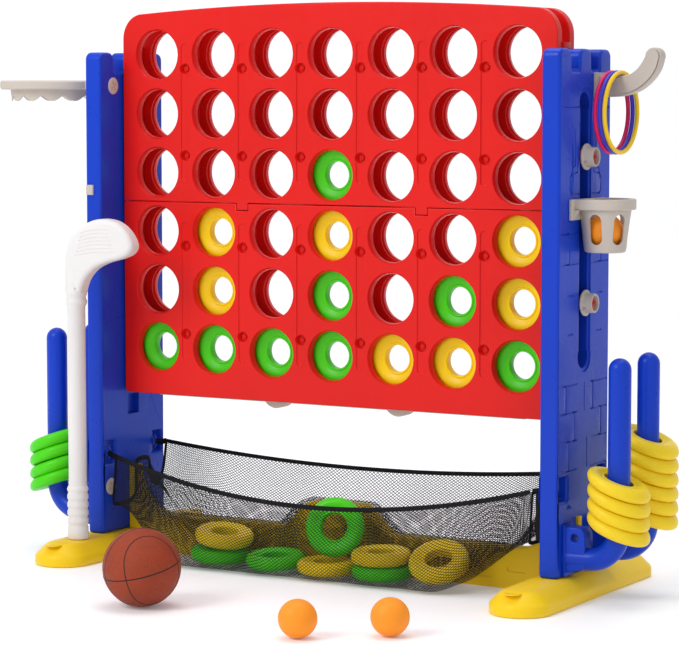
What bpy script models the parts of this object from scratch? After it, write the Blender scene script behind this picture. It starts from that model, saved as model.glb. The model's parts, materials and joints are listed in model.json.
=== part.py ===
"""Giant four in a row: a free-standing lawn game with a ring toss, hoop, ball basket and disc net.

Metres, +Z up. The origin is on the ground under the middle of the crossbar: X runs along the board,
-Y is the front, and the two towers stand at plus and minus X.
"""
import math

import bmesh
import bpy
from mathutils import Matrix, Vector

GAP = 0.0003            # clearance between pieces that touch

# Board grid
COLUMNS = 7
ROWS = 6
COLUMN_PITCH = 0.1315
ROW_PITCH = 0.115
BOTTOM_ROW_Z = 0.4155
HOLE_RADIUS = 0.048
BOARD_HALF_WIDTH = 0.4745
BOARD_HALF_DEPTH = 0.036
PANEL_THICKNESS = 0.0205
BOARD_BOTTOM = 0.321
BOARD_SEAM = 0.703
BOARD_SHOULDER = 1.022
BOARD_TOP = 1.0866
ARCH_DROP = 0.0195
CORNER_WIDTH = 0.045
CHANNEL_HALF = BOARD_HALF_DEPTH - PANEL_THICKNESS
TONGUE_WIDTH = 0.025
TONGUE_DEPTH = 0.013
SEAM_RELIEF = 0.0004

# Release slider
SLIDER_REACH = 0.4055
SLIDER_BAR = 0.0160

# Discs
DISC_RADIUS = 0.0572
DISC_HOLE_RADIUS = 0.0255
DISC_THICKNESS = 0.0262
DISC_CORNER = 0.007

# Towers, feet and crossbar
TOWER_INNER = 0.4785
TOWER_THICKNESS = 0.037
TOWER_OUTER = TOWER_INNER + TOWER_THICKNESS
TOWER_HALF_DEPTH = 0.109
TOWER_TOP = 0.9955
MERLON_DEPTH = 0.040
MERLON_GAP = 0.035
MERLON_CORNER = 0.010
FOOT_HEIGHT = 0.043
FOOT_HALF_WIDTH = 0.058
FOOT_HALF_LENGTH = 0.272
CROSSBAR_HALF_DEPTH = 0.020
BAR_TOP = 0.076
GUSSET_TOP = 0.170
GUSSET_WIDTH = 0.094
HUMP_TOP = 0.130
HUMP_HALF_TOP = 0.050
HUMP_HALF_BASE = 0.125

# Board posts, tower slots and nuts
POST_HEIGHTS = {"upper": 0.801, "lower": 0.536}
POST_RADIUS = 0.013
POST_END = 0.532
SLOT_BOTTOM = 0.415
SLOT_TOP = 0.920
SLOT_HALF_WIDTH = 0.018
SLOT_END_RADIUS = 0.022
NUT_FLANGE_RADIUS = 0.024
NUT_FLANGE = 0.004
NUT_BARREL_RADIUS = 0.018
NUT_LENGTH = 0.0215
BOARD_LIFT = 0.10

# Accessories
PEG_X = 0.618
PEG_Y = {"front": -0.069, "rear": 0.058}
PEG_RADIUS = 0.0205
PEG_ELBOW_Z = 0.079
PEG_TOP = 0.446
STACK_SLOPE = 0.36
HOOP_RADIUS = 0.124
HOOP_HOLE_RADIUS = 0.102
HOOP_Z = 0.923
HOOP_THICKNESS = 0.018
SKIRT_DROP = 0.026
BASKET_X = 0.5555
BASKET_Z = 0.7065
BASKET_RIM_HEIGHT = 0.0195
BASKET_RIM_RADIUS = 0.0555
BASKET_FLOOR = 0.629
HOOK_Y = 0.054
HOOK_HALF_THICKNESS = 0.012
TOSS_RING_RADIUS = 0.0725
TOSS_RING_TUBE = 0.0040
TOSS_RING_Z = 0.8806
BALL_RADIUS = 0.0335
BASKETBALL_RADIUS = 0.0705
CLUB_X = -0.489
CLUB_Y = -0.180

COLLECTION = bpy.data.collections.new("giant_four_in_a_row")
CUTTERS = bpy.data.collections.new("cutters")

RED = ("red plastic", (0.80, 0.03, 0.015), 0.38)
BLUE = ("blue plastic", (0.02, 0.07, 0.55), 0.38)
YELLOW = ("yellow plastic", (0.85, 0.55, 0.02), 0.38)
GREEN = ("green plastic", (0.08, 0.60, 0.03), 0.38)
BEIGE = ("beige plastic", (0.52, 0.45, 0.37), 0.45)
WHITE = ("white plastic", (0.80, 0.77, 0.76), 0.40)
ORANGE = ("orange plastic", (0.95, 0.25, 0.02), 0.45)
PINK = ("pink plastic", (0.75, 0.01, 0.10), 0.40)
VIOLET = ("violet plastic", (0.05, 0.06, 0.55), 0.40)
LEATHER = ("brown ball rubber", (0.30, 0.07, 0.03), 0.60)
NETTING = ("black netting", (0.01, 0.01, 0.01), 0.80)


def clear_scene():
    """Remove whatever the start-up file holds and link the two collections."""
    for obj in list(bpy.data.objects):
        bpy.data.objects.remove(obj, do_unlink=True)
    for collection in (COLLECTION, CUTTERS):
        bpy.context.scene.collection.children.link(collection)


def material(spec):
    """Return the shared Principled material of a (name, colour, roughness) triple."""
    name, colour, roughness = spec
    found = bpy.data.materials.get(name)
    if found:
        return found
    made = bpy.data.materials.new(name)
    made.use_nodes = True
    shader = made.node_tree.nodes["Principled BSDF"]
    shader.inputs["Base Color"].default_value = (*colour, 1.0)
    shader.inputs["Roughness"].default_value = roughness
    shader.inputs["Metallic"].default_value = 0.0
    return made


def add_object(name, mesh, spec, location=(0, 0, 0), rotation=(0, 0, 0), smooth=True):
    """Link a mesh as one named sub-part."""
    obj = bpy.data.objects.new(name, mesh)
    obj.location = location
    obj.rotation_euler = rotation
    COLLECTION.objects.link(obj)
    if not mesh.materials:
        mesh.materials.append(material(spec))
    if smooth:
        mesh.shade_smooth()
        mesh.set_sharp_from_angle(angle=math.radians(40))
    return obj


def make_cutter(obj):
    """Move an object to the hidden collection of cutters."""
    for collection in list(obj.users_collection):
        collection.objects.unlink(obj)
    CUTTERS.objects.link(obj)
    obj.hide_render = True
    obj.display_type = "WIRE"
    return obj


def combine(obj, other, operation):
    """Cut or join a body with a hidden helper through an exact Boolean."""
    modifier = obj.modifiers.new(f"{operation.lower()} {other.name}", "BOOLEAN")
    modifier.operation = operation
    modifier.solver = "EXACT"
    modifier.object = make_cutter(other)
    return obj


def mesh_from(bm, name):
    """Turn a bmesh into a mesh with its faces pointing out."""
    bmesh.ops.recalc_face_normals(bm, faces=bm.faces)
    mesh = bpy.data.meshes.new(name)
    bm.to_mesh(mesh)
    bm.free()
    return mesh


def boxes_mesh(name, boxes):
    """Mesh of one or more separate boxes, each given by its low and high corner."""
    bm = bmesh.new()
    for low, high in boxes:
        low, high = Vector(low), Vector(high)
        size = high - low
        place = Matrix.Translation((low + high) / 2) @ Matrix.Diagonal((*size, 1.0))
        bmesh.ops.create_cube(bm, size=1.0, matrix=place)
    return mesh_from(bm, name)


def arc(centre, radius, start, end, steps):
    """Points on a circular arc, with the angles in degrees."""
    points = []
    for step in range(steps + 1):
        angle = math.radians(start + (end - start) * step / steps)
        points.append((centre[0] + radius * math.cos(angle), centre[1] + radius * math.sin(angle)))
    return points


def circle(centre, radius, steps):
    """Closed circle without its repeated last point."""
    return arc(centre, radius, 0, 360, steps)[:-1]


def rectangle(left, right, low, high):
    return [(left, low), (right, low), (right, high), (left, high)]


def weld_to_mesh(holder, name, matrix):
    """Closed mesh of a curve object in place of the curve, with its caps welded on."""
    bpy.context.view_layer.update()
    evaluated = holder.evaluated_get(bpy.context.evaluated_depsgraph_get())
    mesh = bpy.data.meshes.new_from_object(evaluated)
    bm = bmesh.new()
    bm.from_mesh(mesh)
    bmesh.ops.remove_doubles(bm, verts=bm.verts, dist=0.00001)
    bm.transform(matrix)
    bmesh.ops.recalc_face_normals(bm, faces=bm.faces)
    bm.to_mesh(mesh)
    bm.free()
    bpy.data.objects.remove(holder, do_unlink=True)
    mesh.name = name
    mesh.materials.clear()
    return mesh


def plate(name, loops, thickness, spec, matrix):
    """Extrude a flat outline with holes; the outline lies in XY and is centred on its thickness."""
    curve = bpy.data.curves.new(name, "CURVE")
    curve.dimensions = "2D"
    curve.fill_mode = "BOTH"
    curve.extrude = thickness / 2
    for loop in loops:
        spline = curve.splines.new("POLY")
        spline.points.add(len(loop) - 1)
        for point, (x, y) in zip(spline.points, loop):
            point.co = (x, y, 0, 1)
        spline.use_cyclic_u = True
    holder = bpy.data.objects.new(name + " outline", curve)
    COLLECTION.objects.link(holder)
    return add_object(name, weld_to_mesh(holder, name, matrix), spec, smooth=False)


def upright_xz(y):
    """Place an XY outline upright in the XZ plane at depth y."""
    return Matrix.Translation((0, y, 0)) @ Matrix.Rotation(math.pi / 2, 4, "X")


def upright_yz(x):
    """Place an XY outline upright in the YZ plane at side x."""
    turn = Matrix(((0, 0, 1, 0), (1, 0, 0, 0), (0, 1, 0, 0), (0, 0, 0, 1)))
    return Matrix.Translation((x, 0, 0)) @ turn


def profile_mesh(name, profile):
    """Wire of a (radius, height) profile at +X, run so that its outer side goes from top to bottom.

    A profile that starts and ends on the axis stays open; any other is closed on itself.
    """
    bm = bmesh.new()
    verts = [bm.verts.new((radius, 0, height)) for radius, height in reversed(profile)]
    for start, end in zip(verts, verts[1:]):
        bm.edges.new((start, end))
    if profile[0][0] > 0:
        bm.edges.new((verts[-1], verts[0]))
    mesh = bpy.data.meshes.new(name)
    bm.to_mesh(mesh)
    bm.free()
    return mesh


def turned(name, mesh, steps, spec, location=(0, 0, 0), rotation=(0, 0, 0)):
    """Solid of revolution about the object's Z axis from a profile wire."""
    obj = add_object(name, mesh, spec, location, rotation, smooth=False)
    screw = obj.modifiers.new("turn", "SCREW")
    screw.axis = "Z"
    screw.steps = steps
    screw.render_steps = steps
    screw.use_merge_vertices = True
    screw.merge_threshold = 0.00005
    screw.use_smooth_shade = True
    return obj


def slant(obj, slope):
    """Slide a turned body's layers so that each drops towards its outer side, by slope metres per metre of X."""
    bpy.context.view_layer.update()
    graph = bpy.context.evaluated_depsgraph_get()
    mesh = bpy.data.meshes.new_from_object(obj.evaluated_get(graph))
    obj.modifiers.clear()
    obj.data = mesh
    shear = Matrix.Identity(4)
    shear[2][0] = slope
    mesh.transform(shear)


def loft(name, rings, spec):
    """Closed body through rings of equal length, with flat ends."""
    bm = bmesh.new()
    loops = [[bm.verts.new(co) for co in ring] for ring in rings]
    for lower, upper in zip(loops, loops[1:]):
        for index in range(len(lower)):
            following = (index + 1) % len(lower)
            bm.faces.new((lower[index], lower[following], upper[following], upper[index]))
    bm.faces.new(loops[0])
    bm.faces.new(loops[-1])
    return add_object(name, mesh_from(bm, name), spec)


def tube(name, points, radius, spec, taper=None, resolution=1):
    """Round bar along a list of points with closed ends; taper scales the radius at each point."""
    curve = bpy.data.curves.new(name + " path", "CURVE")
    curve.dimensions = "3D"
    curve.bevel_depth = radius
    curve.bevel_resolution = resolution
    curve.use_fill_caps = True
    spline = curve.splines.new("POLY")
    spline.points.add(len(points) - 1)
    for index, point in enumerate(points):
        spline.points[index].co = (*point, 1)
        spline.points[index].radius = taper[index] if taper else 1.0
    holder = bpy.data.objects.new(name + " path", curve)
    COLLECTION.objects.link(holder)
    mesh = weld_to_mesh(holder, name, Matrix())
    return add_object(name, mesh, spec)


# ---------------------------------------------------------------- board

def column_x(column):
    """Middle of a column, counted from 1 at the left."""
    return (column - (COLUMNS + 1) / 2) * COLUMN_PITCH


def row_z(row):
    """Middle of a row, counted from 1 at the bottom."""
    return BOTTOM_ROW_Z + (row - 1) * ROW_PITCH


def arch_z(x):
    """Height of the shallow arch along the board's top."""
    return BOARD_TOP - ARCH_DROP * (x / BOARD_HALF_WIDTH) ** 2


def board_crown():
    """Top outline from the right shoulder to the left one, with elliptical corners."""
    inner = BOARD_HALF_WIDTH - CORNER_WIDTH
    corner = []
    for step in range(6):
        angle = math.radians(90 * step / 5)
        x = inner + CORNER_WIDTH * math.cos(angle)
        corner.append((x, BOARD_SHOULDER + (arch_z(inner) - BOARD_SHOULDER) * math.sin(angle)))
    arch = []
    for step in range(1, 6):
        x = inner - 2 * inner * step / 6
        arch.append((x, arch_z(x)))
    return corner + arch + [(-x, z) for x, z in reversed(corner)]


def tongues(sign):
    """Left edges of the two tongues that key the upper panel into the lower one."""
    middles = [-1.5 * COLUMN_PITCH, 1.5 * COLUMN_PITCH]
    return middles if sign > 0 else middles[::-1]


def panel_loops(half):
    """Outline and holes of an upper or lower half panel."""
    rows = range(4, 7) if half == "upper" else range(1, 4)
    holes = []
    for column in range(1, COLUMNS + 1):
        for row in rows:
            holes.append(circle((column_x(column), row_z(row)), HOLE_RADIUS, 14))
    width = BOARD_HALF_WIDTH
    half_tongue = TONGUE_WIDTH / 2
    if half == "upper":
        outline = board_crown() + [(-width, BOARD_SEAM)]
        for x in tongues(1):
            left_root = BOARD_SEAM + (SEAM_RELIEF if x > 0 else 0.0)
            right_root = BOARD_SEAM + (SEAM_RELIEF if x < 0 else 0.0)
            outline += [(x - half_tongue, left_root), (x - half_tongue, BOARD_SEAM - TONGUE_DEPTH)]
            outline += [(x + half_tongue, BOARD_SEAM - TONGUE_DEPTH), (x + half_tongue, right_root)]
        outline.append((width, BOARD_SEAM))
        return [outline] + holes
    seam = BOARD_SEAM - GAP
    slack = half_tongue + GAP
    outline = arc((-width + 0.010, BOARD_BOTTOM + 0.010), 0.010, 180, 270, 3)
    outline += arc((width - 0.010, BOARD_BOTTOM + 0.010), 0.010, 270, 360, 3)
    outline.append((width, seam))
    for x in tongues(-1):
        outline += [(x + slack, seam), (x + slack, seam - TONGUE_DEPTH - GAP)]
        outline += [(x - slack, seam - TONGUE_DEPTH - GAP), (x - slack, seam)]
    outline.append((-width, seam))
    return [outline] + holes


def build_panels():
    for face, sign in (("front", -1), ("back", 1)):
        middle = sign * (BOARD_HALF_DEPTH - PANEL_THICKNESS / 2)
        for half in ("upper", "lower"):
            name = f"board_{face}_{half}"
            plate(name, panel_loops(half), PANEL_THICKNESS, RED, upright_xz(middle))


def build_side_rails():
    """Rails that close the channel's ends; each carries two posts that pass through a tower's slot."""
    depth = CHANNEL_HALF - GAP
    for side, sign in (("left", -1), ("right", 1)):
        outline = [(0.4600, 0.362), (0.4742, 0.362), (0.4742, 0.997), (0.4780, 0.997), (0.4780, 1.0075),
                   (0.4600, 1.0075)]
        outline = [(sign * x, z) for x, z in outline]
        rail = plate(f"side_rail_{side}", [outline], 2 * depth, RED, upright_xz(0))
        for level, z in POST_HEIGHTS.items():
            start, end = Vector((sign * 0.470, 0, z)), Vector((sign * POST_END, 0, z))
            post = tube(f"{side} {level} post", [start, end], POST_RADIUS, RED, resolution=2)
            combine(rail, post, "UNION")


def build_slider():
    """Sliding grid under the channel: one bar below each column, two side strips and two finger tabs.

    Moved by half a column pitch, the bars stand between the columns and the discs fall through.
    """
    depth = CHANNEL_HALF - GAP
    low = BOARD_BOTTOM - 0.004
    bar_top = row_z(1) - DISC_RADIUS - GAP
    strip_top = low + 0.024
    strips = boxes_mesh("release_slider", [((-SLIDER_REACH, -depth, low), (SLIDER_REACH, -depth + 0.0018, strip_top))])
    slider = add_object("release_slider", strips, BEIGE, smooth=False)
    far = boxes_mesh("slider far strip", [((-SLIDER_REACH, depth - 0.0018, low), (SLIDER_REACH, depth, strip_top))])
    bars = []
    for column in range(1, COLUMNS + 1):
        x = column_x(column)
        bars.append(((x - SLIDER_BAR / 2, -depth + 0.0002, low + 0.0002), (x + SLIDER_BAR / 2, depth - 0.0002, bar_top)))
    combine(slider, add_object("slider bars", boxes_mesh("slider bars", bars), BEIGE, smooth=False), "UNION")
    combine(slider, add_object("slider far strip", far, BEIGE, smooth=False), "UNION")
    for index, x in enumerate((-1.03 * COLUMN_PITCH, 1.03 * COLUMN_PITCH)):
        outline = [(x + 0.0245, low + 0.002), (x + 0.0245, low - 0.003)]
        outline += arc((x, low + 0.016), 0.0275, 310, 230, 5)
        outline += [(x - 0.0245, low - 0.003), (x - 0.0245, low + 0.002)]
        tab = plate(f"slider tab {index}", [outline], 2 * depth - 0.0008, BEIGE, upright_xz(0))
        combine(slider, tab, "UNION")


def build_nuts():
    """Flanged nuts outside the towers; each turns on a board post and clamps the board's height."""
    bore = POST_RADIUS + 0.0006
    profile = [(bore, 0.0), (NUT_FLANGE_RADIUS, 0.0), (NUT_FLANGE_RADIUS, NUT_FLANGE),
               (NUT_BARREL_RADIUS, NUT_FLANGE), (NUT_BARREL_RADIUS, NUT_LENGTH), (bore, NUT_LENGTH)]
    mesh = profile_mesh("nut", profile)
    for side, sign in (("left", -1), ("right", 1)):
        for level, z in POST_HEIGHTS.items():
            name = f"nut_{side}_{level}"
            place = (sign * (TOWER_OUTER + GAP), 0, z)
            turned(name, mesh, 16, BEIGE, place, (0, sign * math.pi / 2, 0))


# ---------------------------------------------------------------- discs

def disc_profile(thickness):
    """Half section of a disc: a flat ring with chamfered outer corners, centred on z = 0."""
    half = thickness / 2
    chamfer = DISC_CORNER
    return [(DISC_HOLE_RADIUS, -half), (DISC_RADIUS - chamfer, -half), (DISC_RADIUS, -half + chamfer),
            (DISC_RADIUS, half - chamfer), (DISC_RADIUS - chamfer, half), (DISC_HOLE_RADIUS, half)]


# Colours of the played discs, bottom row first, one letter for each column
PLAYED = ["GGGGYYG", ".Y.G.GY", ".Y.Y..Y", "...G..."]


def build_board_discs():
    shared = {}
    for row, line in enumerate(PLAYED, start=1):
        for column, letter in enumerate(line, start=1):
            if letter == ".":
                continue
            spec = GREEN if letter == "G" else YELLOW
            if letter not in shared:
                shared[letter] = profile_mesh("disc " + letter, disc_profile(DISC_THICKNESS))
            place = (column_x(column), 0, row_z(row))
            turned(f"disc_c{column}_r{row}", shared[letter], 16, spec, place, (math.pi / 2, 0, 0))


# Discs lying in the net's front pocket: name, colour, middle, tilt about X, tilt about Y, turn about Z
NET_DISCS = (
    ("net_disc_1", GREEN, (-0.216, -0.090, 0.0243), 0, 3, 0),
    ("net_disc_2", YELLOW, (-0.207, -0.088, 0.0605), 5, 8, 0),
    ("net_disc_3", GREEN, (-0.091, -0.088, 0.0240), 4, 0, 0),
    ("net_disc_4", YELLOW, (0.026, -0.092, 0.0220), 0, 0, 0),
    ("net_disc_5", GREEN, (0.036, -0.078, 0.0955), 76, 0, 14),
    ("net_disc_6", GREEN, (0.144, -0.088, 0.0220), 0, 0, 0),
    ("net_disc_7", YELLOW, (0.142, -0.088, 0.0510), 2, 0, 0),
    ("net_disc_8", YELLOW, (0.268, -0.094, 0.0520), 30, 0, 12),
)


def build_net_discs():
    for name, spec, place, tilt_x, tilt_y, turn in NET_DISCS:
        mesh = profile_mesh(name, disc_profile(DISC_THICKNESS))
        angles = [math.radians(value) for value in (tilt_x, tilt_y, turn)]
        turned(name, mesh, 16, spec, place, angles)


def build_peg_stacks():
    """Discs stored on the pegs; the discs of one peg make one body."""
    stacks = (("stack_left_front", GREEN, -1, "front", 4), ("stack_right_front", YELLOW, 1, "front", 4),
              ("stack_right_rear", YELLOW, 1, "rear", 6))
    for name, spec, side, end, count in stacks:
        half = DISC_THICKNESS / 2
        profile = [(DISC_HOLE_RADIUS, 0.0)]
        for index in range(count):
            low = index * DISC_THICKNESS
            profile += [(DISC_RADIUS - 0.003, low), (DISC_RADIUS, low + half)]
        profile += [(DISC_RADIUS - 0.003, count * DISC_THICKNESS), (DISC_HOLE_RADIUS, count * DISC_THICKNESS)]
        base = 0.127 if end == "front" else 0.139
        stack = turned(name, profile_mesh(name, profile), 16, spec, (side * PEG_X, PEG_Y[end], base))
        slant(stack, -side * STACK_SLOPE)


# ---------------------------------------------------------------- stand

def tower_loops(slotted):
    """Outline of a tower in (Y, Z) with its battlements, slot and net windows."""
    half = TOWER_HALF_DEPTH
    merlon = (2 * half - 2 * MERLON_GAP) / 3
    floor = TOWER_TOP - MERLON_DEPTH
    outline = [(-half, FOOT_HEIGHT + GAP), (half, FOOT_HEIGHT + GAP)]
    for index in range(3):
        right = half - index * (merlon + MERLON_GAP)
        left = right - merlon
        corner = MERLON_CORNER
        outline += [] if index == 0 else [(right, floor)]
        outline += arc((right - corner, TOWER_TOP - corner), corner, 0, 90, 2)
        outline += arc((left + corner, TOWER_TOP - corner), corner, 90, 180, 2)
        outline += [] if index == 2 else [(left, floor)]
    low = SLOT_BOTTOM + SLOT_END_RADIUS
    high = SLOT_TOP - SLOT_END_RADIUS
    spread = math.degrees(math.acos(SLOT_HALF_WIDTH / SLOT_END_RADIUS))
    slot = arc((0, low), SLOT_END_RADIUS, 180 - spread, 360 + spread, 7)
    slot += arc((0, high), SLOT_END_RADIUS, -spread, 180 + spread, 7)
    windows = [rectangle(-0.103, -0.066, 0.182, 0.226), rectangle(0.060, 0.097, 0.186, 0.230)]
    return [outline, slot] + windows if slotted else [outline] + windows


def build_towers():
    for side, sign in (("left", -1), ("right", 1)):
        middle = sign * (TOWER_INNER + TOWER_THICKNESS / 2)
        plate(f"tower_{side}", tower_loops(True), TOWER_THICKNESS, BLUE, upright_yz(middle))


def foot_ring(z, inset):
    """Plan outline of a foot: a bar with rounded ends, drawn in by inset."""
    points = []
    for sign, start in ((1, 0), (-1, 180)):
        centre_y = sign * (FOOT_HALF_LENGTH - FOOT_HALF_WIDTH)
        points += arc((0, centre_y), FOOT_HALF_WIDTH - inset, start, start + 180, 8)
    return [(x, y, z) for x, y in points]


def build_feet():
    for side, sign in (("left", -1), ("right", 1)):
        middle = sign * (TOWER_INNER + TOWER_THICKNESS / 2)
        rings = []
        for z, inset in ((0.0, 0.002), (0.004, 0.0), (0.020, 0.0), (0.034, 0.010), (FOOT_HEIGHT, 0.027)):
            rings.append([(middle + x, y, z) for x, y, z in foot_ring(z, inset)])
        loft(f"foot_{side}", rings, YELLOW)


def crossbar_top():
    """Right half of the crossbar's top, from the tower to the middle of the hump."""
    reach = TOWER_INNER - GAP
    points = [(reach, GUSSET_TOP)]
    for step in range(1, 7):
        angle = math.radians(90 * step / 6)
        x = reach - GUSSET_WIDTH * (1 - math.cos(angle))
        points.append((x, GUSSET_TOP - (GUSSET_TOP - BAR_TOP) * math.sin(angle)))
    points += [(HUMP_HALF_BASE, BAR_TOP), (HUMP_HALF_TOP, HUMP_TOP)]
    return points


def build_crossbar():
    reach = TOWER_INNER - GAP
    step_x = TOWER_INNER + TOWER_THICKNESS / 2 - FOOT_HALF_WIDTH - GAP
    right = [(step_x, 0.0), (step_x, FOOT_HEIGHT + GAP), (reach, FOOT_HEIGHT + GAP)] + crossbar_top()
    outline = right + [(-x, z) for x, z in reversed(right)]
    plate("crossbar", [outline], 2 * CROSSBAR_HALF_DEPTH, YELLOW, upright_xz(0))


def build_pegs():
    """J-shaped ring pegs bolted to the outer faces of the towers."""
    for side, sign in (("left", -1), ("right", 1)):
        for end, depth in PEG_Y.items():
            name = f"peg_{side}_{end}"
            root = TOWER_OUTER + GAP
            bend = 0.058
            path = [(root, PEG_ELBOW_Z)]
            path += arc((PEG_X - bend, PEG_ELBOW_Z + bend), bend, 270, 360, 6)
            path += [(PEG_X, PEG_TOP - PEG_RADIUS), (PEG_X, PEG_TOP - 0.35 * PEG_RADIUS), (PEG_X, PEG_TOP)]
            taper = [1.0] * (len(path) - 2) + [0.80, 0.30]
            peg = tube(name, [(sign * x, depth, z) for x, z in path], PEG_RADIUS, BLUE, taper)
            low = (min(sign * root, sign * 0.560), depth - 0.017, PEG_ELBOW_Z - 0.010)
            high = (max(sign * root, sign * 0.560), depth + 0.017, 0.134)
            block = add_object(f"{name} root", boxes_mesh(name + " root", [(low, high)]), BLUE, smooth=False)
            combine(peg, block, "UNION")


def build_hoop():
    """Ball hoop on the left tower with a flat rim, a scalloped skirt and a wall bracket."""
    centre_x = -(TOWER_OUTER + 0.011 + HOOP_RADIUS)
    lip = HOOP_HOLE_RADIUS + 0.003
    profile = [(HOOP_HOLE_RADIUS, -SKIRT_DROP), (lip, -SKIRT_DROP), (lip, 0.0), (HOOP_RADIUS, 0.0),
               (HOOP_RADIUS, HOOP_THICKNESS), (HOOP_HOLE_RADIUS, HOOP_THICKNESS)]
    hoop = turned("hoop", profile_mesh("hoop", profile), 24, BEIGE, (centre_x, 0, HOOP_Z))
    low = (-(TOWER_OUTER + 0.030), -0.062, HOOP_Z - 0.022)
    high = (-(TOWER_OUTER + GAP), 0.062, HOOP_Z + HOOP_THICKNESS)
    bracket = add_object("hoop bracket", boxes_mesh("hoop bracket", [(low, high)]), BEIGE, smooth=False)
    combine(hoop, bracket, "UNION")
    radius = HOOP_HOLE_RADIUS - 0.0005
    bore = profile_mesh("hoop bore", [(0.0, -0.08), (radius, -0.08), (radius, 0.08), (0.0, 0.08)])
    combine(hoop, turned("hoop bore", bore, 24, BEIGE, (centre_x, 0, HOOP_Z)), "DIFFERENCE")


def build_basket():
    """Ball basket on the right tower: a tapered cup with slots, under a wide rim and a wall plate."""
    rim = BASKET_RIM_HEIGHT
    floor = BASKET_FLOOR - BASKET_Z
    profile = [(0.0, floor), (0.0370, floor), (0.0465, -0.004), (0.0465, 0.0), (BASKET_RIM_RADIUS, 0.0),
               (BASKET_RIM_RADIUS, rim), (0.0445, rim), (0.0435, -0.004), (0.0350, floor + 0.003),
               (0.0, floor + 0.003)]
    place = (BASKET_X, 0, BASKET_Z)
    basket = turned("ball_basket", profile_mesh("ball_basket", profile), 18, BEIGE, place)
    wall = TOWER_OUTER + GAP
    plates = [((wall, -0.070, BASKET_Z - 0.018), (wall + 0.004, 0.070, BASKET_Z + rim)),
              ((wall, -0.054, BASKET_Z + 0.0005), (BASKET_X - 0.020, 0.054, BASKET_Z + rim - 0.0005))]
    for index, corners in enumerate(plates):
        shape = boxes_mesh(f"basket plate {index}", [corners])
        combine(basket, add_object(f"basket plate {index}", shape, BEIGE, smooth=False), "UNION")
    inside = profile_mesh("basket inside", [(0.0, -0.030), (0.0425, -0.004), (0.0443, 0.050), (0.0, 0.050)])
    combine(basket, turned("basket inside", inside, 18, BEIGE, place), "DIFFERENCE")
    for angle in (-90, -30, 30, 90):
        slot = boxes_mesh(f"basket slot {angle}", [((0.025, -0.011, -0.061), (0.060, 0.011, -0.010))])
        cutter = add_object(f"basket slot {angle}", slot, BEIGE, place, (0, 0, math.radians(angle)), smooth=False)
        combine(basket, cutter, "DIFFERENCE")
    behind = boxes_mesh("basket back", [((0.430, -0.090, 0.600), (wall, 0.090, 0.760))])
    combine(basket, add_object("basket back", behind, BEIGE, smooth=False), "DIFFERENCE")


def build_ring_hook():
    """Curved hook for the toss rings: a flat arm that turns up at its end."""
    upper = [(0.5195, 0.9480), (0.5650, 0.9470), (0.5850, 0.9510), (0.6010, 0.9650), (0.6110, 0.9830)]
    lower = [(0.6420, 0.9800), (0.6340, 0.9560), (0.6180, 0.9340), (0.5960, 0.9180), (0.5700, 0.9100),
             (0.5400, 0.9080), (0.5195, 0.9090)]
    tip = arc((0.6270, 0.9830), 0.0155, 175, 5, 4)
    outline = upper[:-1] + tip + lower
    hook = plate("ring_hook", [outline], 2 * HOOK_HALF_THICKNESS, BEIGE, upright_xz(HOOK_Y))
    wall = TOWER_OUTER + GAP
    backplate = boxes_mesh("hook plate", [((wall, HOOK_Y - 0.024, 0.905), (wall + 0.0055, HOOK_Y + 0.024, 0.953))])
    combine(hook, add_object("hook plate", backplate, BEIGE, smooth=False), "UNION")


def build_toss_rings():
    """Three thin rings that hang from the hook's arm, side by side along X."""
    profile = circle((TOSS_RING_RADIUS, 0), TOSS_RING_TUBE, 5)
    for name, spec, x in (("toss_ring_pink", PINK, 0.5418), ("toss_ring_violet", VIOLET, 0.5510),
                          ("toss_ring_yellow", YELLOW, 0.5602)):
        turned(name, profile_mesh(name, profile), 20, spec, (x, HOOK_Y, TOSS_RING_Z), (0, math.pi / 2, 0))


def build_screws():
    """Two broad pan-head screws on the left tower's inner face."""
    for name, y, z in (("tower_screw_upper", -0.066, 0.930), ("tower_screw_lower", -0.083, 0.136)):
        profile = [(0.0, 0.0), (0.0165, 0.0), (0.0165, 0.0012), (0.0140, 0.0026), (0.0, 0.0026)]
        place = (-TOWER_INNER + GAP, y, z)
        turned(name, profile_mesh(name, profile), 12, BEIGE, place, (0, math.pi / 2, 0))


# ---------------------------------------------------------------- net

def crossbar_height(x):
    """Height of the crossbar's top at a side position x."""
    x = abs(x)
    gusset_start = TOWER_INNER - GUSSET_WIDTH
    if x > gusset_start:
        across = (TOWER_INNER - x) / GUSSET_WIDTH
        return BAR_TOP + (GUSSET_TOP - BAR_TOP) * (1 - math.sqrt(max(0.0, 1 - (1 - across) ** 2)))
    if x < HUMP_HALF_TOP:
        return HUMP_TOP
    if x < HUMP_HALF_BASE:
        return HUMP_TOP + (BAR_TOP - HUMP_TOP) * (x - HUMP_HALF_TOP) / (HUMP_HALF_BASE - HUMP_HALF_TOP)
    return BAR_TOP


def ease(value, start, end):
    """Smooth step from 0 at start to 1 at end."""
    t = min(1.0, max(0.0, (value - start) / (end - start)))
    return t * t * (3 - 2 * t)


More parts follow.
